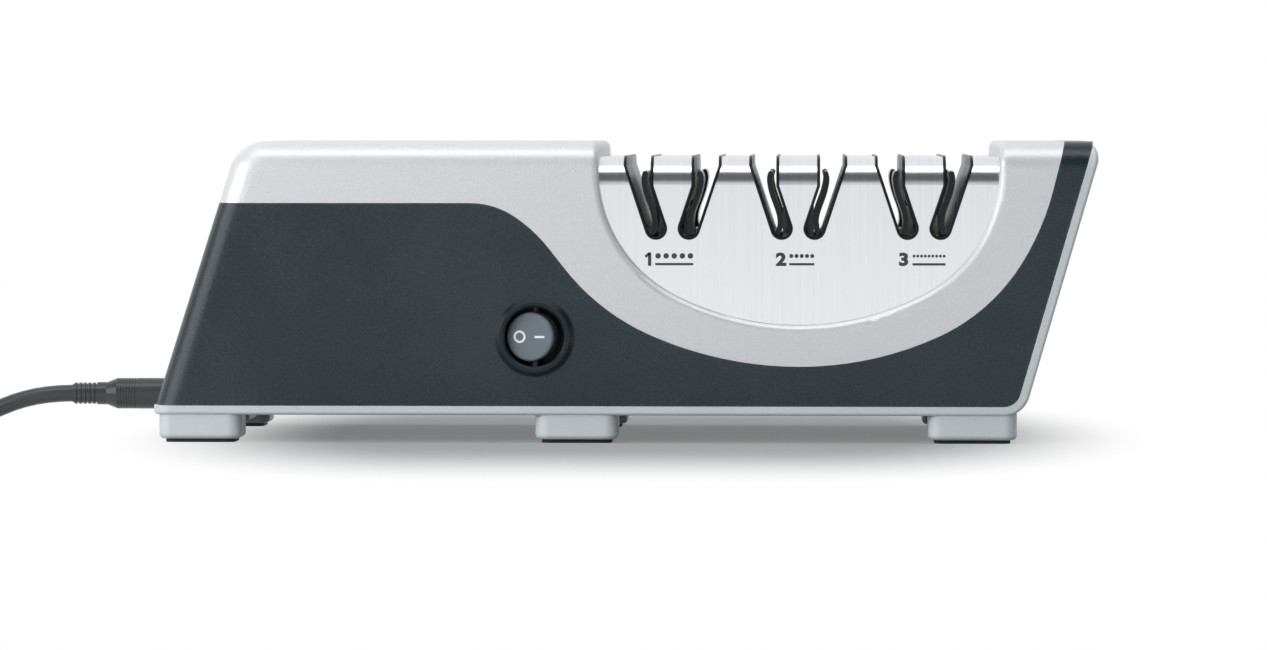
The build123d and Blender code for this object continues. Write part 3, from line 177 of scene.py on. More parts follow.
# %% Edge wear
wear, wear_in, wear_out = number_group("edge_wear", {"Radius": 0.001, "Amount": 1.0}, ["Mask"])
wear_place = put(wear, "TexCoord")
rounded = put(wear, "Bevel", samples=4)
plain = put(wear, "NewGeometry")
agree = put(wear, "VectorMath", operation="DOT_PRODUCT")
differ = put(wear, "MapRange", From_Min=0.995, From_Max=0.80)
patchy = put(wear, "TexNoise", Scale=160.0, Detail=4.0)
broken = put(wear, "Math", operation="MULTIPLY")
amount = put(wear, "Math", operation="MULTIPLY")
chain(
    wear,
    wear_in.outputs["Radius"], rounded.inputs["Radius"],
    rounded.outputs["Normal"], agree.inputs[0],
    plain.outputs["Normal"], agree.inputs[1],
    agree.outputs["Value"], differ.inputs["Value"],
    wear_place.outputs["Object"], patchy.inputs["Vector"],
    differ.outputs["Result"], broken.inputs[0],
    patchy.outputs["Fac"], broken.inputs[1],
    broken.outputs["Value"], amount.inputs[0],
    wear_in.outputs["Amount"], amount.inputs[1],
    amount.outputs["Value"], wear_out.inputs["Mask"],
)
print("group", wear.name, "has", len(wear.nodes), "nodes")

# %% [markdown]
# Brushed steel is scratched in one direction by an abrasive belt. A noise that is squeezed across
# the brushing and drawn out along it gives the hair lines. On this sheet the belt ran up the front
# and over the top, so the lines change only from left to right.

# %% Brushing
brushing, brush_in, brush_out = number_group(
    "brushing", {"Fineness": 3000.0, "Length": 40.0}, ["Height", "Shade"]
)
brush_place = put(brushing, "TexCoord")
brush_split = put(brushing, "SeparateXYZ")
across = put(brushing, "Math", operation="MULTIPLY")
along_y = put(brushing, "Math", operation="MULTIPLY")
along_z = put(brushing, "Math", operation="MULTIPLY")
brush_join = put(brushing, "CombineXYZ")
hair = put(brushing, "TexNoise", Scale=1.0, Detail=4.0, Roughness=0.65)
bands = put(brushing, "TexNoise", Scale=0.3, Detail=2.0)
chain(
    brushing,
    brush_place.outputs["Object"], brush_split.inputs["Vector"],
    brush_split.outputs["X"], across.inputs[0],
    brush_in.outputs["Fineness"], across.inputs[1],
    brush_split.outputs["Y"], along_y.inputs[0],
    brush_in.outputs["Length"], along_y.inputs[1],
    brush_split.outputs["Z"], along_z.inputs[0],
    brush_in.outputs["Length"], along_z.inputs[1],
    across.outputs["Value"], brush_join.inputs["X"],
    along_y.outputs["Value"], brush_join.inputs["Y"],
    along_z.outputs["Value"], brush_join.inputs["Z"],
    brush_join.outputs["Vector"], hair.inputs["Vector"],
    brush_join.outputs["Vector"], bands.inputs["Vector"],
    hair.outputs["Fac"], brush_out.inputs["Height"],
    bands.outputs["Fac"], brush_out.inputs["Shade"],
)
print("group", brushing.name, "has", len(brushing.nodes), "nodes")

# %% [markdown]
# The silver lid is sprayed with paint that holds tiny aluminium flakes. Each flake lies at its own
# angle, so some catch the light and their neighbours don't. Voronoi cells of about 0.3 millimetres
# stand for the flakes, and every cell has its own random shade.

# %% Paint flakes
flakes, flake_in, flake_out = number_group("paint_flakes", {"Scale": 3600.0}, ["Height", "Shade"])
flake_place = put(flakes, "TexCoord")
cells = put(flakes, "TexVoronoi", Randomness=1.0)
cell_shade = put(flakes, "SeparateColor")
chain(
    flakes,
    flake_place.outputs["Object"], cells.inputs["Vector"],
    flake_in.outputs["Scale"], cells.inputs["Scale"],
    cells.outputs["Color"], cell_shade.inputs["Color"],
    cell_shade.outputs["Red"], flake_out.inputs["Height"],
    cell_shade.outputs["Green"], flake_out.inputs["Shade"],
)
print("group", flakes.name, "has", len(flakes.nodes), "nodes")

# %% [markdown]
# Every finish below is the same chain: a pattern makes a height and a shade, the shade moves the
# colour between two close tones, the edge mask adds a worn tone, and the height feeds a Bump node.
# One function builds it, and each material gives its own numbers.

# %% One maker for all finishes
worn_edge_radius = 0.0009


def finish(name, pattern, tones, roughness, bump, worn, wear_amount, pattern_values, **constants):
    """A procedural material. tones and roughness are (low, high) pairs moved by the pattern."""
    material = bpy.data.materials.new(name)
    material.use_nodes = True
    tree = material.node_tree
    tree.nodes.clear()
    result = put(tree, "OutputMaterial")
    shader = put(tree, "BsdfPrincipled", **constants)
    texture = use_group(tree, pattern, **pattern_values)
    edges = use_group(tree, wear, Radius=worn_edge_radius, Amount=wear_amount)
    colour = put(tree, "Mix", data_type="RGBA")
    colour.inputs[6].default_value = tones[0]
    colour.inputs[7].default_value = tones[1]
    worn_colour = put(tree, "Mix", data_type="RGBA")
    worn_colour.inputs[7].default_value = worn
    gloss = put(tree, "MapRange", To_Min=roughness[0], To_Max=roughness[1])
    relief = put(tree, "Bump", Strength=1.0, Distance=bump)
    chain(
        tree,
        texture.outputs["Shade"], colour.inputs["Factor"],
        colour.outputs[2], worn_colour.inputs[6],
        edges.outputs["Mask"], worn_colour.inputs["Factor"],
        worn_colour.outputs[2], shader.inputs["Base Color"],
        texture.outputs["Shade"], gloss.inputs["Value"],
        gloss.outputs["Result"], shader.inputs["Roughness"],
        texture.outputs["Height"], relief.inputs["Height"],
        relief.outputs["Normal"], shader.inputs["Normal"],
        shader.outputs["BSDF"], result.inputs["Surface"],
    )
    print("material", name)
    return material

# %% [markdown]
# The casing has four finishes: dark grained plastic, silver flake paint, brushed steel and the
# pale satin of the base. Their tones are written as a screen would show them under even light.

# %% Casing finishes
housing_plastic = finish(
    "dark_grained_plastic", grain, tones=(screen(24, 36, 42), screen(42, 54, 61)),
    roughness=(0.20, 0.32), bump=0.00008, worn=screen(96, 106, 112), wear_amount=0.5,
    pattern_values={"Scale": 1700.0}, Specular_IOR_Level=0.42,
)
silver_paint = finish(
    "silver_flake_paint", flakes, tones=(screen(209, 209, 212), screen(222, 222, 225)),
    roughness=(0.36, 0.44), bump=0.0000012, worn=screen(232, 233, 235), wear_amount=0.3,
    pattern_values={"Scale": 3400.0}, Metallic=0.4,
)
brushed_steel = finish(
    "brushed_steel", brushing, tones=(screen(234, 235, 238), screen(248, 249, 252)),
    roughness=(0.20, 0.26), bump=0.000003, worn=screen(244, 245, 246), wear_amount=0.3,
    pattern_values={"Fineness": 5200.0, "Length": 30.0}, Metallic=1.0, Anisotropic=0.6,
)
steel_tree = brushed_steel.node_tree
steel_shader = next(node for node in steel_tree.nodes if node.type == "BSDF_PRINCIPLED")
sideways = put(steel_tree, "CombineXYZ", X=1.0)
chain(steel_tree, sideways.outputs["Vector"], steel_shader.inputs["Tangent"])
base_plastic = finish(
    "pale_satin_plastic", grain, tones=(screen(192, 199, 202), screen(201, 208, 211)),
    roughness=(0.34, 0.42), bump=0.00001, worn=screen(222, 227, 229), wear_amount=0.4,
    pattern_values={"Scale": 3000.0},
)

# %% [markdown]
# The small parts come next: smooth black plastic for the guides and the leaf springs, the switch's
# ring and cap, rubber for feet and cord, and a set of metals for the parts inside. They use the
# same maker with other numbers.

# %% Finishes of the small parts
guide_plastic = finish(
    "smooth_black_plastic", grain, tones=(screen(13, 16, 17), screen(19, 23, 24)),
    roughness=(0.20, 0.30), bump=0.000006, worn=screen(70, 76, 78), wear_amount=0.6,
    pattern_values={"Scale": 3500.0}, Specular_IOR_Level=0.16,
)
spring_plastic = finish(
    "glossy_spring_plastic", grain, tones=(screen(13, 18, 19), screen(22, 28, 29)),
    roughness=(0.12, 0.20), bump=0.000004, worn=screen(84, 94, 96), wear_amount=0.5,
    pattern_values={"Scale": 3000.0}, Specular_IOR_Level=0.3,
)
ring_plastic = finish(
    "switch_ring_plastic", grain, tones=(screen(18, 27, 32), screen(25, 34, 39)),
    roughness=(0.24, 0.32), bump=0.000008, worn=screen(90, 99, 105), wear_amount=0.6,
    pattern_values={"Scale": 3200.0}, Specular_IOR_Level=0.25,
)
cap_plastic = finish(
    "switch_cap_plastic", grain, tones=(screen(90, 101, 107), screen(104, 115, 121)),
    roughness=(0.34, 0.42), bump=0.00001, worn=screen(110, 118, 122), wear_amount=0.5,
    pattern_values={"Scale": 3200.0},
)
foot_rubber = finish(
    "foot_rubber", grain, tones=(screen(24, 25, 26), screen(36, 37, 38)), roughness=(0.62, 0.78),
    bump=0.00004, worn=screen(60, 60, 60), wear_amount=0.5, pattern_values={"Scale": 1800.0},
)
cord_rubber = finish(
    "cord_rubber", grain, tones=(screen(50, 54, 56), screen(60, 64, 66)), roughness=(0.26, 0.36),
    bump=0.00002, worn=screen(84, 85, 86), wear_amount=0.4, pattern_values={"Scale": 2200.0},
)
white_plastic = finish(
    "natural_nylon", grain, tones=(screen(214, 213, 206), screen(232, 231, 225)),
    roughness=(0.40, 0.50), bump=0.00001, worn=screen(240, 240, 236), wear_amount=0.3,
    pattern_values={"Scale": 2600.0},
)
board_laminate = finish(
    "board_laminate", grain, tones=(screen(122, 108, 66), screen(146, 130, 84)),
    roughness=(0.45, 0.60), bump=0.00001, worn=screen(168, 152, 108), wear_amount=0.4,
    pattern_values={"Scale": 1200.0},
)
magnet_ferrite = finish(
    "magnet_ferrite", grain, tones=(screen(48, 49, 51), screen(66, 67, 69)), roughness=(0.55, 0.70),
    bump=0.00003, worn=screen(100, 100, 102), wear_amount=0.5, pattern_values={"Scale": 2600.0},
)

# %% [markdown]
# The metals differ in colour and in how their surface was worked: ground for bearings and shaft,
# zinc plated for sheet parts, plated brass for the plug's pins, enamelled copper for the windings.
# The discs carry a coating of grit, coarse in the first stage and nearly smooth in the last.

# %% Metals and grits
screw_metal = finish(
    "zinc_screw", brushing, tones=(screen(150, 152, 152), screen(190, 192, 192)),
    roughness=(0.28, 0.42), bump=0.000006, worn=screen(214, 214, 214), wear_amount=0.4,
    pattern_values={"Fineness": 1500.0, "Length": 600.0}, Metallic=1.0,
)
sheet_metal = finish(
    "zinc_sheet", grain, tones=(screen(150, 153, 156), screen(188, 191, 194)),
    roughness=(0.34, 0.50), bump=0.00001, worn=screen(214, 214, 214), wear_amount=0.3,
    pattern_values={"Scale": 900.0}, Metallic=1.0,
)
bearing_metal = finish(
    "ground_steel", brushing, tones=(screen(176, 178, 180), screen(206, 208, 210)),
    roughness=(0.16, 0.26), bump=0.000004, worn=screen(224, 224, 224), wear_amount=0.3,
    pattern_values={"Fineness": 5000.0, "Length": 400.0}, Metallic=1.0,
)
pin_metal = finish(
    "plated_brass", brushing, tones=(screen(206, 198, 176), screen(226, 220, 200)),
    roughness=(0.18, 0.28), bump=0.000004, worn=screen(226, 204, 150), wear_amount=0.5,
    pattern_values={"Fineness": 3000.0, "Length": 900.0}, Metallic=1.0,
)
winding_copper = finish(
    "enamelled_copper", brushing, tones=(screen(170, 92, 54), screen(206, 126, 80)),
    roughness=(0.28, 0.40), bump=0.00004, worn=screen(224, 160, 120), wear_amount=0.3,
    pattern_values={"Fineness": 1800.0, "Length": 90.0}, Metallic=1.0,
)
coarse_grit = finish(
    "coarse_grit", flakes, tones=(screen(92, 92, 90), screen(170, 168, 164)),
    roughness=(0.30, 0.75), bump=0.00012, worn=screen(190, 188, 184), wear_amount=0.5,
    pattern_values={"Scale": 2600.0}, Metallic=0.6,
)
fine_grit = finish(
    "fine_grit", flakes, tones=(screen(118, 118, 116), screen(176, 174, 170)),
    roughness=(0.34, 0.66), bump=0.00005, worn=screen(196, 194, 190), wear_amount=0.5,
    pattern_values={"Scale": 4800.0}, Metallic=0.6,
)
polishing_grit = finish(
    "polishing_grit", grain, tones=(screen(208, 203, 192), screen(226, 222, 212)),
    roughness=(0.30, 0.42), bump=0.00001, worn=screen(236, 232, 224), wear_amount=0.4,
    pattern_values={"Scale": 4000.0},
)

# %% [markdown]
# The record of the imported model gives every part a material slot. A table from slot to finish lets
# one loop dress all parts, and none is forgotten. Each part's own slots are refilled, which leaves
# its mesh untouched.

# %% Dress the CAD parts
finish_of_slot = {
    "base": base_plastic,
    "rubber": foot_rubber,
    "housing": housing_plastic,
    "cover": silver_paint,
    "steel": brushed_steel,
    "black_plastic": guide_plastic,
    "spring_plastic": spring_plastic,
    "switch_ring": ring_plastic,
    "switch_cap": cap_plastic,
    "brass": pin_metal,
    "cord_rubber": cord_rubber,
    "screw_steel": screw_metal,
    "zinc_steel": sheet_metal,
    "bearing_steel": bearing_metal,
    "ferrite": magnet_ferrite,
    "copper": winding_copper,
    "white_plastic": white_plastic,
    "board": board_laminate,
    "coarse_grit": coarse_grit,
    "fine_grit": fine_grit,
    "polishing_grit": polishing_grit,
}
for part in frame["record"]["subparts"]:
    mesh = nodes[part["node"]].data
    mesh.materials.clear()
    mesh.materials.append(finish_of_slot[part["material_slot"]])

# %% [markdown]
# The stages are numbered on the steel in dark pad-printed ink, a film a few hundredths of a
# millimetre thick. Each numeral is a text object that is made a mesh, stood up against the sheet,
# and moved until its lower left corner lies where the printer put it.

# %% Printing inks
dark_ink = finish(
    "dark_printing_ink", grain, tones=(screen(52, 53, 55), screen(62, 63, 65)),
    roughness=(0.45, 0.55), bump=0.000002, worn=screen(90, 91, 93), wear_amount=0.2,
    pattern_values={"Scale": 5000.0},
)
white_ink = finish(
    "white_printing_ink", grain, tones=(screen(226, 229, 231), screen(238, 240, 242)),
    roughness=(0.40, 0.50), bump=0.000002, worn=screen(246, 247, 248), wear_amount=0.2,
    pattern_values={"Scale": 5000.0},
)
ink_film = 0.04 * MM
ink_lift = 0.002 * MM
print("inks", dark_ink.name, white_ink.name)

# %% Stage numerals
def apply_place(piece):
    """Put the piece's place, turn and size into its mesh."""
    bpy.ops.object.select_all(action="DESELECT")
    piece.select_set(True)
    bpy.context.view_layer.objects.active = piece
    bpy.ops.object.transform_apply(location=True, rotation=True, scale=True)


def corner_of(piece):
    """The lowest corner of a mesh piece that stands untransformed at the origin."""
    spots = [vertex.co for vertex in piece.data.vertices]
    return Vector(min(spot[axis] for spot in spots) for axis in range(3))


def draw_out(offset, rim=None):
    """Give flat faces in edit mode a thickness and, if asked, a (width, height) rim."""
    bpy.ops.mesh.select_all(action="SELECT")
    bpy.ops.mesh.extrude_region_move(TRANSFORM_OT_translate={"value": offset})
    if rim:
        bpy.ops.mesh.inset(thickness=rim[0], depth=rim[1])
    bpy.ops.mesh.select_all(action="SELECT")
    bpy.ops.mesh.normals_make_consistent(inside=False)
    bpy.ops.object.mode_set(mode="OBJECT")


numeral_height = 4.6 * MM
numeral_foot = 60.3 * MM
numeral_left = {2: 50.6 * MM, 3: 92.4 * MM}
digit_share = 0.705
numeral_boldness = 0.00032
numeral_stretch = 1.05
for stage, left in numeral_left.items():
    bpy.ops.object.text_add(location=(0.0, 0.0, 0.0), rotation=(math.pi / 2, 0.0, 0.0))
    numeral = bpy.context.object
    numeral.data.body = str(stage)
    numeral.data.size = numeral_height / digit_share
    numeral.data.extrude = ink_film / 2
    numeral.data.offset = numeral_boldness
    bpy.ops.object.convert(target="MESH")
    numeral = bpy.context.object
    numeral.name = f"stage_numeral_{stage}"
    apply_place(numeral)
    low = corner_of(numeral)
    high = max(vertex.co.z for vertex in numeral.data.vertices)
    numeral.scale = (numeral_stretch, 1.0, numeral_height / (high - low.z))
    apply_place(numeral)
    numeral.location = Vector((left, steel_front - ink_film, numeral_foot)) - corner_of(numeral)
    apply_place(numeral)
    numeral.data.materials.clear()
    numeral.data.materials.append(dark_ink)
    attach(numeral, "casing")
    print(numeral.name, len(numeral.data.polygons), "faces")

# %% [markdown]
# The numeral one of that typeface is a bare bar, and the sharpener's has a flag, so it is built of
# two strokes: planes that are stood up, drawn out by the ink's thickness and joined.

# %% Numeral one
def ink_stroke(x, z, width, height, tilt):
    """A flat stroke of ink on the steel, in millimetres and degrees, round its middle."""
    bpy.ops.mesh.primitive_plane_add(
        size=1.0, location=(x * MM, steel_front - ink_lift, z * MM),
        rotation=(math.pi / 2, math.radians(-tilt), 0.0),
    )
    stroke = bpy.context.object
    stroke.scale = (width * MM, height * MM, 1.0)
    apply_place(stroke)
    bpy.ops.object.mode_set(mode="EDIT")
    draw_out((0.0, -ink_film, 0.0))
    return stroke


numeral_flag = ink_stroke(x=6.98, z=63.95, width=1.8, height=0.9, tilt=40.0)
numeral_one = ink_stroke(x=7.78, z=62.6, width=1.15, height=4.6, tilt=0.0)
numeral_one.name = "stage_numeral_1"
numeral_flag.select_set(True)
bpy.ops.object.join()
numeral_one.data.materials.append(dark_ink)
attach(numeral_one, "casing")
print(numeral_one.name, len(numeral_one.data.polygons), "faces")

# %% [markdown]
# Beside each numeral stands a generic grit mark, since words are left off: dots whose size tells
# the grain of the discs, over a thin rule. A row is one mesh: flat discs are laid in edit mode,
# then drawn out by the thickness of the ink and inset, so that their rims are soft like print.

# %% Grit marks
soft_rim = (0.05 * MM, 0.01 * MM)


def print_row(name, spots, radius, rule):
    """Dots at (x, z) spots and one rule (left, right, low, high), printed on the steel."""
    bpy.ops.object.select_all(action="DESELECT")
    face_front = (math.pi / 2, 0.0, 0.0)
    left, right, low, high = rule
    middle = Vector(((left + right) / 2, steel_front - ink_lift, (low + high) / 2))
    bpy.ops.mesh.primitive_plane_add(size=1.0, location=middle, rotation=face_front)
    row = bpy.context.object
    row.name = name
    row.scale = (right - left, high - low, 1.0)
    apply_place(row)
    bpy.ops.object.mode_set(mode="EDIT")
    for x, z in spots:
        bpy.ops.mesh.primitive_circle_add(
            vertices=24, radius=radius, fill_type="NGON",
            location=(x, steel_front - ink_lift, z), rotation=face_front,
        )
    draw_out((0.0, -ink_film, 0.0), rim=soft_rim)
    row.data.materials.append(dark_ink)
    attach(row, "casing")
    print(name, len(row.data.polygons), "faces")


dot_line = 63.7 * MM
rule_low, rule_high = 60.5 * MM, 61.3 * MM
# Left end, right end and dot radius in millimetres, and the number of dots.
grit_marks = [(9.7, 22.6, 0.95, 5), (55.2, 63.7, 0.7, 5), (97.0, 108.2, 0.5, 9)]
for stage, (left, right, radius, count) in enumerate(grit_marks, start=1):
    step = (right - left - 2 * radius) / (count - 1)
    spots = [((left + radius + place * step) * MM, dot_line) for place in range(count)]
    rule = (left * MM, right * MM, rule_low, rule_high)
    print_row(f"grit_mark_{stage}", spots, radius * MM, rule)

# %% [markdown]
# The rocker carries the two usual marks in white: a ring for off and a stroke for on. They are
# modelled flat, laid on the tilted face of the cap as it stands at rest, and ride on the rocker,
# so they rock with it.

# %% Rocker marks
rocker_face = Vector((-32.98, -54.28, 36.2)) * MM
rocker_right = Vector((math.cos(rocker_tilt), -math.sin(rocker_tilt), 0.0))
rocker_out = Vector((-math.sin(rocker_tilt), -math.cos(rocker_tilt), 0.0))
rocker_turn = Matrix((rocker_right, Vector((0.0, 0.0, 1.0)), rocker_out)).transposed().to_4x4()
mark_offset = 3.55 * MM
mark_stroke = 0.75 * MM
off_radius = 2.15 * MM
on_length = 3.5 * MM


def lay_mark(mark, along):
    """Thicken a flat mark by the ink film and lay it on the cap, along its width."""
    draw_out((0.0, 0.0, ink_film))
    spot = rocker_face + rocker_right * along + rocker_out * ink_lift
    mark.matrix_world = Matrix.Translation(spot) @ rocker_turn
    apply_place(mark)
    mark.data.materials.append(white_ink)
    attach(mark, "rocker")
    print(mark.name, len(mark.data.polygons), "faces")


bpy.ops.mesh.primitive_circle_add(vertices=48, radius=off_radius, fill_type="NGON")
off_mark = bpy.context.object
off_mark.name = "rocker_mark_off"
bpy.ops.object.mode_set(mode="EDIT")
bpy.ops.mesh.select_all(action="SELECT")
bpy.ops.mesh.inset(thickness=mark_stroke)
bpy.ops.mesh.delete(type="FACE")
lay_mark(off_mark, -mark_offset)
bpy.ops.mesh.primitive_plane_add(size=1.0)
on_mark = bpy.context.object
on_mark.name = "rocker_mark_on"
on_mark.scale = (on_length, mark_stroke, 1.0)
apply_place(on_mark)
bpy.ops.object.mode_set(mode="EDIT")
lay_mark(on_mark, mark_offset)

# %% [markdown]
# Between the two discs of a stage sits a coil spring of one millimetre wire. Each disc slides
# inward on its own, so a spring is modelled as two halves that meet in the middle: a circle, the
# wire's section, is wound one and a half turns by a Screw modifier.

# %% Disc springs
shaft_height = 56.0 * MM
spring_radius = 5.8 * MM
spring_wire = 0.5 * MM
spring_reach = 2.45 * MM
half_turns = 1.5
half_steps = 54


def wind_half(name, middle, side):
    """Half of a disc spring, from its middle out to the disc on one side."""
    bpy.ops.object.select_all(action="DESELECT")
    bpy.ops.mesh.primitive_circle_add(
        vertices=12, radius=spring_wire, location=(0.0, 0.0, spring_radius),
        rotation=(math.pi / 2, 0.0, 0.0),
    )
    half = bpy.context.object
    half.name = name
    apply_place(half)
    winding = half.modifiers.new("winding", "SCREW")
    winding.axis = "X"
    winding.angle = half_turns * math.tau
    winding.screw_offset = spring_reach
    winding.steps = winding.render_steps = half_steps
    bpy.ops.object.modifier_apply(modifier="winding")
    bpy.ops.object.mode_set(mode="EDIT")
    bpy.ops.mesh.select_all(action="DESELECT")
    bpy.ops.mesh.select_non_manifold()
    bpy.ops.mesh.fill_holes(sides=0)
    bpy.ops.mesh.select_all(action="SELECT")
    bpy.ops.mesh.normals_make_consistent(inside=False)
    bpy.ops.object.mode_set(mode="OBJECT")
    half.rotation_euler = (0.0, 0.0, 0.0 if side > 0 else math.pi)
    half.location = (middle, 0.0, shaft_height)
    apply_place(half)
    half.data.materials.append(bearing_metal)
    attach(half, "drive")
    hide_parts("disc_springs")
    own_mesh(half)
    low, high = corner_of(half), max(vertex.co.x for vertex in half.data.vertices)
    print(name, "x from", round(low.x / MM, 2), "to", round(high / MM, 2), "mm")


for grit, middle in zip(("coarse", "fine", "polishing"), stage_middle):
    for side, word in ((-1, "left"), (1, "right")):
        wind_half(f"{grit}_spring_{word}", middle, side)

# %% [markdown]
# A mains cord is a fixed length of something flexible. It leaves its strain relief straight, sinks
# to the table and lies there; what isn't needed is wound into a coil of about ten cord diameters.
# The line is one NURBS curve of order three, whose control points are the route's corners. The
# coil is wound from the outside in on the table, climbs at its inner turn, and goes out again on
# top, with its turns a diameter apart.

# %% Route of the cord
coil_middle = Vector((-280.0, 44.0, 0.0)) * MM
coil_outer = 38.0 * MM
coil_inner = 25.8 * MM
coil_dip = 1.6 * MM
lower_layer = 3.0 * MM
upper_layer = 9.3 * MM
turn_points = 16
layer_turns = 2.0
climb_turns = 0.75
control_pull = 8 / (6 + 2 * math.cos(math.tau / turn_points))

way_out = [(-197.0, 0.0, 13.8), (-211.0, 0.0, 13.8), (-233.0, 2.0, 4.1), (-256.0, 6.0, 3.0)]
way_to_plug = [
    (-242.6, 42.0, 9.3), (-242.8, 26.0, 9.4), (-244.6, 6.5, 10.0), (-246.2, -5.0, 8.3),
    (-246.4, -13.0, 7.0),
]
route = [Vector(spot) * MM for spot in way_out]
all_turns = 2 * layer_turns + climb_turns
for step in range(1, round(all_turns * turn_points)):
    turned = step / turn_points
    angle = -math.pi / 2 - turned * math.tau
    if turned < layer_turns:
        radius = coil_outer + (coil_inner - coil_outer) * turned / layer_turns
        height = lower_layer
    elif turned < layer_turns + climb_turns:
        climb = (turned - layer_turns) / climb_turns
        radius = coil_inner - coil_dip * math.sin(math.pi * climb)
        height = lower_layer + (upper_layer - lower_layer) * climb * climb * (3 - 2 * climb)
    else:
        back = (turned - layer_turns - climb_turns) / layer_turns
        radius = coil_inner + (coil_outer - coil_inner) * back
        height = upper_layer
    around = Vector((math.cos(angle), math.sin(angle), 0.0)) * radius * control_pull
    route.append(coil_middle + around + Vector((0.0, 0.0, height)))
route += [Vector(spot) * MM for spot in way_to_plug]
print("cord route has", len(route), "points")

# %% [markdown]
# The order and the end setting are given after the points, because Blender would lower the order
# of a spline that has too few points yet. The bevel gives the cord its thickness.

# %% Cord
cord_curve = bpy.data.curves.new("mains_cord", "CURVE")
cord_curve.dimensions = "3D"
cord_curve.bevel_depth = cord_thickness / 2
cord_curve.bevel_resolution = 5
cord_curve.resolution_u = 6
cord_line = cord_curve.splines.new("NURBS")
cord_line.points.add(len(route) - 1)
for point, spot in zip(cord_line.points, route):
    point.co = (*spot, 1.0)
cord_line.order_u = 3
cord_line.use_endpoint_u = True
cord = bpy.data.objects.new("mains_cord", cord_curve)
bpy.context.scene.collection.objects.link(cord)
cord_curve.materials.append(cord_rubber)
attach(cord, "casing")
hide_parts("power_cord", "cord_coil", "cord_tail")
print("cord laid")

# %% [markdown]
# The floor is grey where it is shaded. Near the sharpener it takes the lamps' soft shadow; further
# out it melts into the white of the room, so no horizon shows. A gradient on the floor's own
# coordinates moves from the grey shaded material to a plain white glow that only camera, gloss and
# glass rays see. The shape of that gradient is a painted shadow: it paints the soft falloff of shade
# round the sharpener. A fifth of the glow is mixed in everywhere, which is painted light that lifts
# the shade under the body.

# %% Floor
floor_size = 12.0
shadow_core = (0.06, 0.0, 0.0)
shadow_stretch = (8.5, 4.25, 0.0)
bpy.ops.object.select_all(action="DESELECT")
bpy.ops.mesh.primitive_plane_add(size=floor_size, location=(0.0, 0.0, 0.0))
floor = bpy.context.object
floor.name = "floor"
floor_paint = bpy.data.materials.new("floor_with_painted_shadow")
floor_paint.use_nodes = True
floor_tree = floor_paint.node_tree
floor_tree.nodes.clear()
floor_result = put(floor_tree, "OutputMaterial")
# The grey of the painted shadow zone round the body, which the lamps also shade for real.
floor_shade = put(floor_tree, "BsdfDiffuse", Color=(0.235, 0.245, 0.255, 1.0))
floor_glow = put(floor_tree, "Emission", Color=(1.0, 1.0, 1.0, 1.0), Strength=1.0)
floor_mix = put(floor_tree, "MixShader")
floor_place = put(floor_tree, "TexCoord")
floor_side = put(floor_tree, "VectorMath", operation="ABSOLUTE")
floor_past = put(floor_tree, "VectorMath", operation="SUBTRACT")
floor_past.inputs[1].default_value = shadow_core
floor_beyond = put(floor_tree, "VectorMath", operation="MAXIMUM")
floor_stretch = put(floor_tree, "VectorMath", operation="MULTIPLY")
floor_stretch.inputs[1].default_value = shadow_stretch
floor_reach = put(floor_tree, "VectorMath", operation="LENGTH")
# Painted shadow: the dark grey floor near the body fades into the white glow. To_Min mixes a fifth
# of the glow in everywhere, painted light in the shade under the body.
painted_shadow_fade = put(
    floor_tree, "MapRange", interpolation_type="SMOOTHSTEP", From_Min=0.35, From_Max=1.05,
    To_Min=0.2,
)
floor_rays = put(floor_tree, "LightPath")
floor_seen = put(floor_tree, "Math", operation="ADD", use_clamp=True)
floor_seen_too = put(floor_tree, "Math", operation="ADD", use_clamp=True)
floor_part = put(floor_tree, "Math", operation="MULTIPLY")
chain(
    floor_tree,
    floor_place.outputs["Object"], floor_side.inputs[0],
    floor_side.outputs["Vector"], floor_past.inputs[0],
    floor_past.outputs["Vector"], floor_beyond.inputs[0],
    floor_beyond.outputs["Vector"], floor_stretch.inputs[0],
    floor_stretch.outputs["Vector"], floor_reach.inputs[0],
    floor_reach.outputs["Value"], painted_shadow_fade.inputs["Value"],
    floor_rays.outputs["Is Camera Ray"], floor_seen.inputs[0],
    floor_rays.outputs["Is Glossy Ray"], floor_seen.inputs[1],
    floor_seen.outputs["Value"], floor_seen_too.inputs[0],
    floor_rays.outputs["Is Transmission Ray"], floor_seen_too.inputs[1],
    painted_shadow_fade.outputs["Result"], floor_part.inputs[0],
    floor_seen_too.outputs["Value"], floor_part.inputs[1],
    floor_part.outputs["Value"], floor_mix.inputs["Fac"],
    floor_shade.outputs["BSDF"], floor_mix.inputs[1],
    floor_glow.outputs["Emission"], floor_mix.inputs[2],
    floor_mix.outputs["Shader"], floor_result.inputs["Surface"],
)
floor.data.materials.append(floor_paint)
print("floor", floor.name)

# %% [markdown]
# The room is a white studio. Rays from the camera see plain white. For light and reflections the
# room is bright overhead and behind, and dimmer in front above the horizon, in the dark half of
# the studio. A bright band stands along the horizon, like the cards round a table set, stronger
# on the left. Rounded metal edges need that contrast: a steel
# edge shows white where it looks up and a dark band where it looks forward.

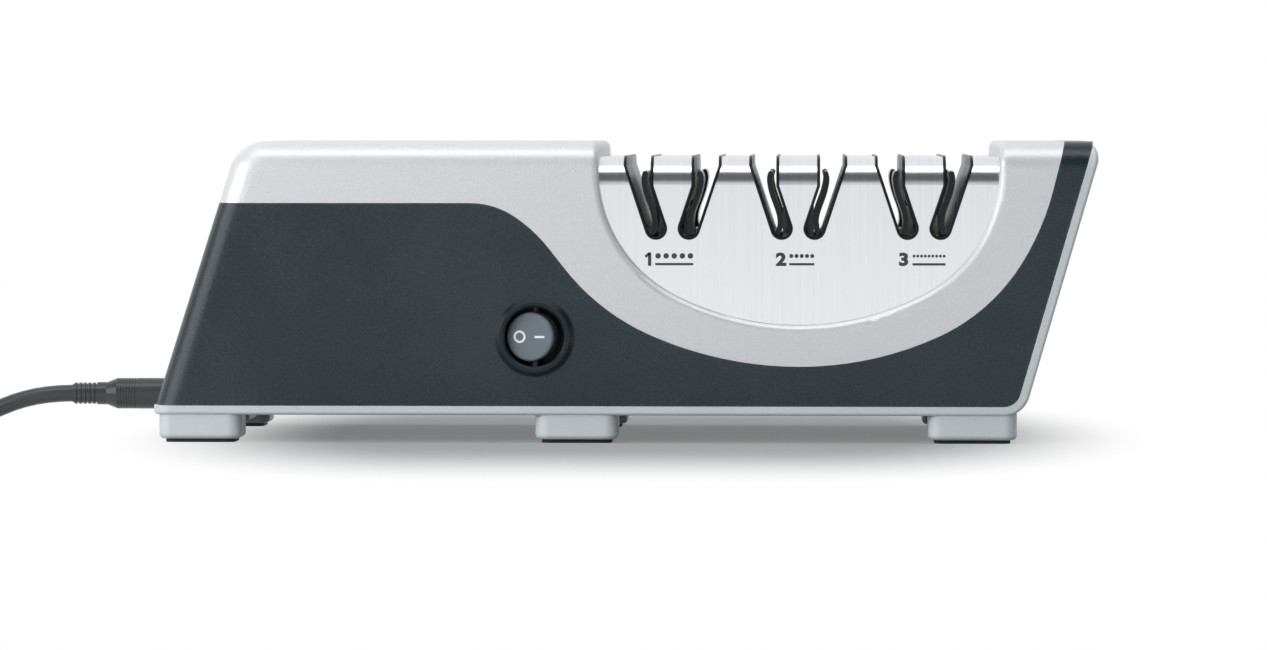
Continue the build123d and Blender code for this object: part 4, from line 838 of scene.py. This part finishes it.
# %% Room light
room = bpy.data.worlds.new("studio")
bpy.context.scene.world = room
room.use_nodes = True
room_tree = room.node_tree
room_tree.nodes.clear()
room_result = put(room_tree, "OutputWorld")
room_light = put(room_tree, "Background", Strength=1.0)
room_white = put(room_tree, "Background", Color=(1.0, 1.0, 1.0, 1.0), Strength=1.0)
room_mix = put(room_tree, "MixShader")
room_rays = put(room_tree, "LightPath")
room_place = put(room_tree, "TexCoord")
room_split = put(room_tree, "SeparateXYZ")
overhead = put(
    room_tree, "MapRange", interpolation_type="SMOOTHSTEP", From_Min=0.74, From_Max=0.92,
)
behind = put(
    room_tree, "MapRange", interpolation_type="SMOOTHSTEP", From_Min=0.0, From_Max=0.5,
)
horizon = put(
    room_tree, "MapRange", interpolation_type="SMOOTHSTEP", From_Min=0.36, From_Max=0.04,
)
leftward = put(room_tree, "MapRange", From_Min=0.05, From_Max=-0.2, To_Min=0.74)
card = put(room_tree, "Math", operation="MULTIPLY")
bright = put(room_tree, "Math", operation="MAXIMUM")
bright_too = put(room_tree, "Math", operation="MAXIMUM")
room_tone = put(room_tree, "Mix", data_type="RGBA")
room_tone.inputs[6].default_value = (0.10, 0.11, 0.115, 1.0)
room_tone.inputs[7].default_value = (0.86, 0.87, 0.89, 1.0)
chain(
    room_tree,
    room_place.outputs["Generated"], room_split.inputs["Vector"],
    room_split.outputs["Z"], overhead.inputs["Value"],
    room_split.outputs["Y"], behind.inputs["Value"],
    overhead.outputs["Result"], bright.inputs[0],
    behind.outputs["Result"], bright.inputs[1],
    room_split.outputs["Z"], horizon.inputs["Value"],
    bright.outputs["Value"], bright_too.inputs[0],
    room_split.outputs["X"], leftward.inputs["Value"],
    horizon.outputs["Result"], card.inputs[0],
    leftward.outputs["Result"], card.inputs[1],
    card.outputs["Value"], bright_too.inputs[1],
    bright_too.outputs["Value"], room_tone.inputs["Factor"],
    room_tone.outputs[2], room_light.inputs["Color"],
    room_rays.outputs["Is Camera Ray"], room_mix.inputs["Fac"],
    room_light.outputs["Background"], room_mix.inputs[1],
    room_white.outputs["Background"], room_mix.inputs[2],
    room_mix.outputs["Shader"], room_result.inputs["Surface"],
)
print("room", room.name)

# %% [markdown]
# Four soft lamps shape the sharpener: a long strip above its front edge, a lamp behind it for the
# lid, a large one in front that fills the face, and a wide one on the left that draws a pale band
# down the rounded left end. They are area lamps, so shadows stay soft.

# %% Lamps
def soft_lamp(name, place, aim, width, height, power, in_gloss=True):
    """A rectangular area lamp that looks from place to aim; all in metres and watts."""
    data = bpy.data.lights.new(name, "AREA")
    data.shape = "RECTANGLE"
    data.size = width
    data.size_y = height
    data.energy = power
    lamp = bpy.data.objects.new(name, data)
    lamp.location = place
    lamp.rotation_euler = (Vector(aim) - Vector(place)).to_track_quat("-Z", "Y").to_euler()
    lamp.visible_glossy = in_gloss
    lamp.visible_camera = False
    bpy.context.scene.collection.objects.link(lamp)
    print("lamp", name, power, "W")


soft_lamp(
    "strip_above", place=(0.0, -0.42, 1.0), aim=(0.0, 0.0, 0.1),
    width=1.7, height=0.42, power=4.2,
)
soft_lamp(
    "lamp_behind", place=(0.0, 0.8, 0.9), aim=(0.0, 0.0, 0.05),
    width=1.4, height=0.5, power=2.5, in_gloss=False,
)
soft_lamp(
    "lamp_front", place=(-0.6, -1.05, 0.55), aim=(-0.05, 0.0, 0.05),
    width=0.9, height=0.7, power=8.2, in_gloss=False,
)
soft_lamp(
    "strip_left", place=(-1.05, -0.52, 0.32), aim=(-0.1, 0.0, 0.05),
    width=0.9, height=0.8, power=5.5,
)
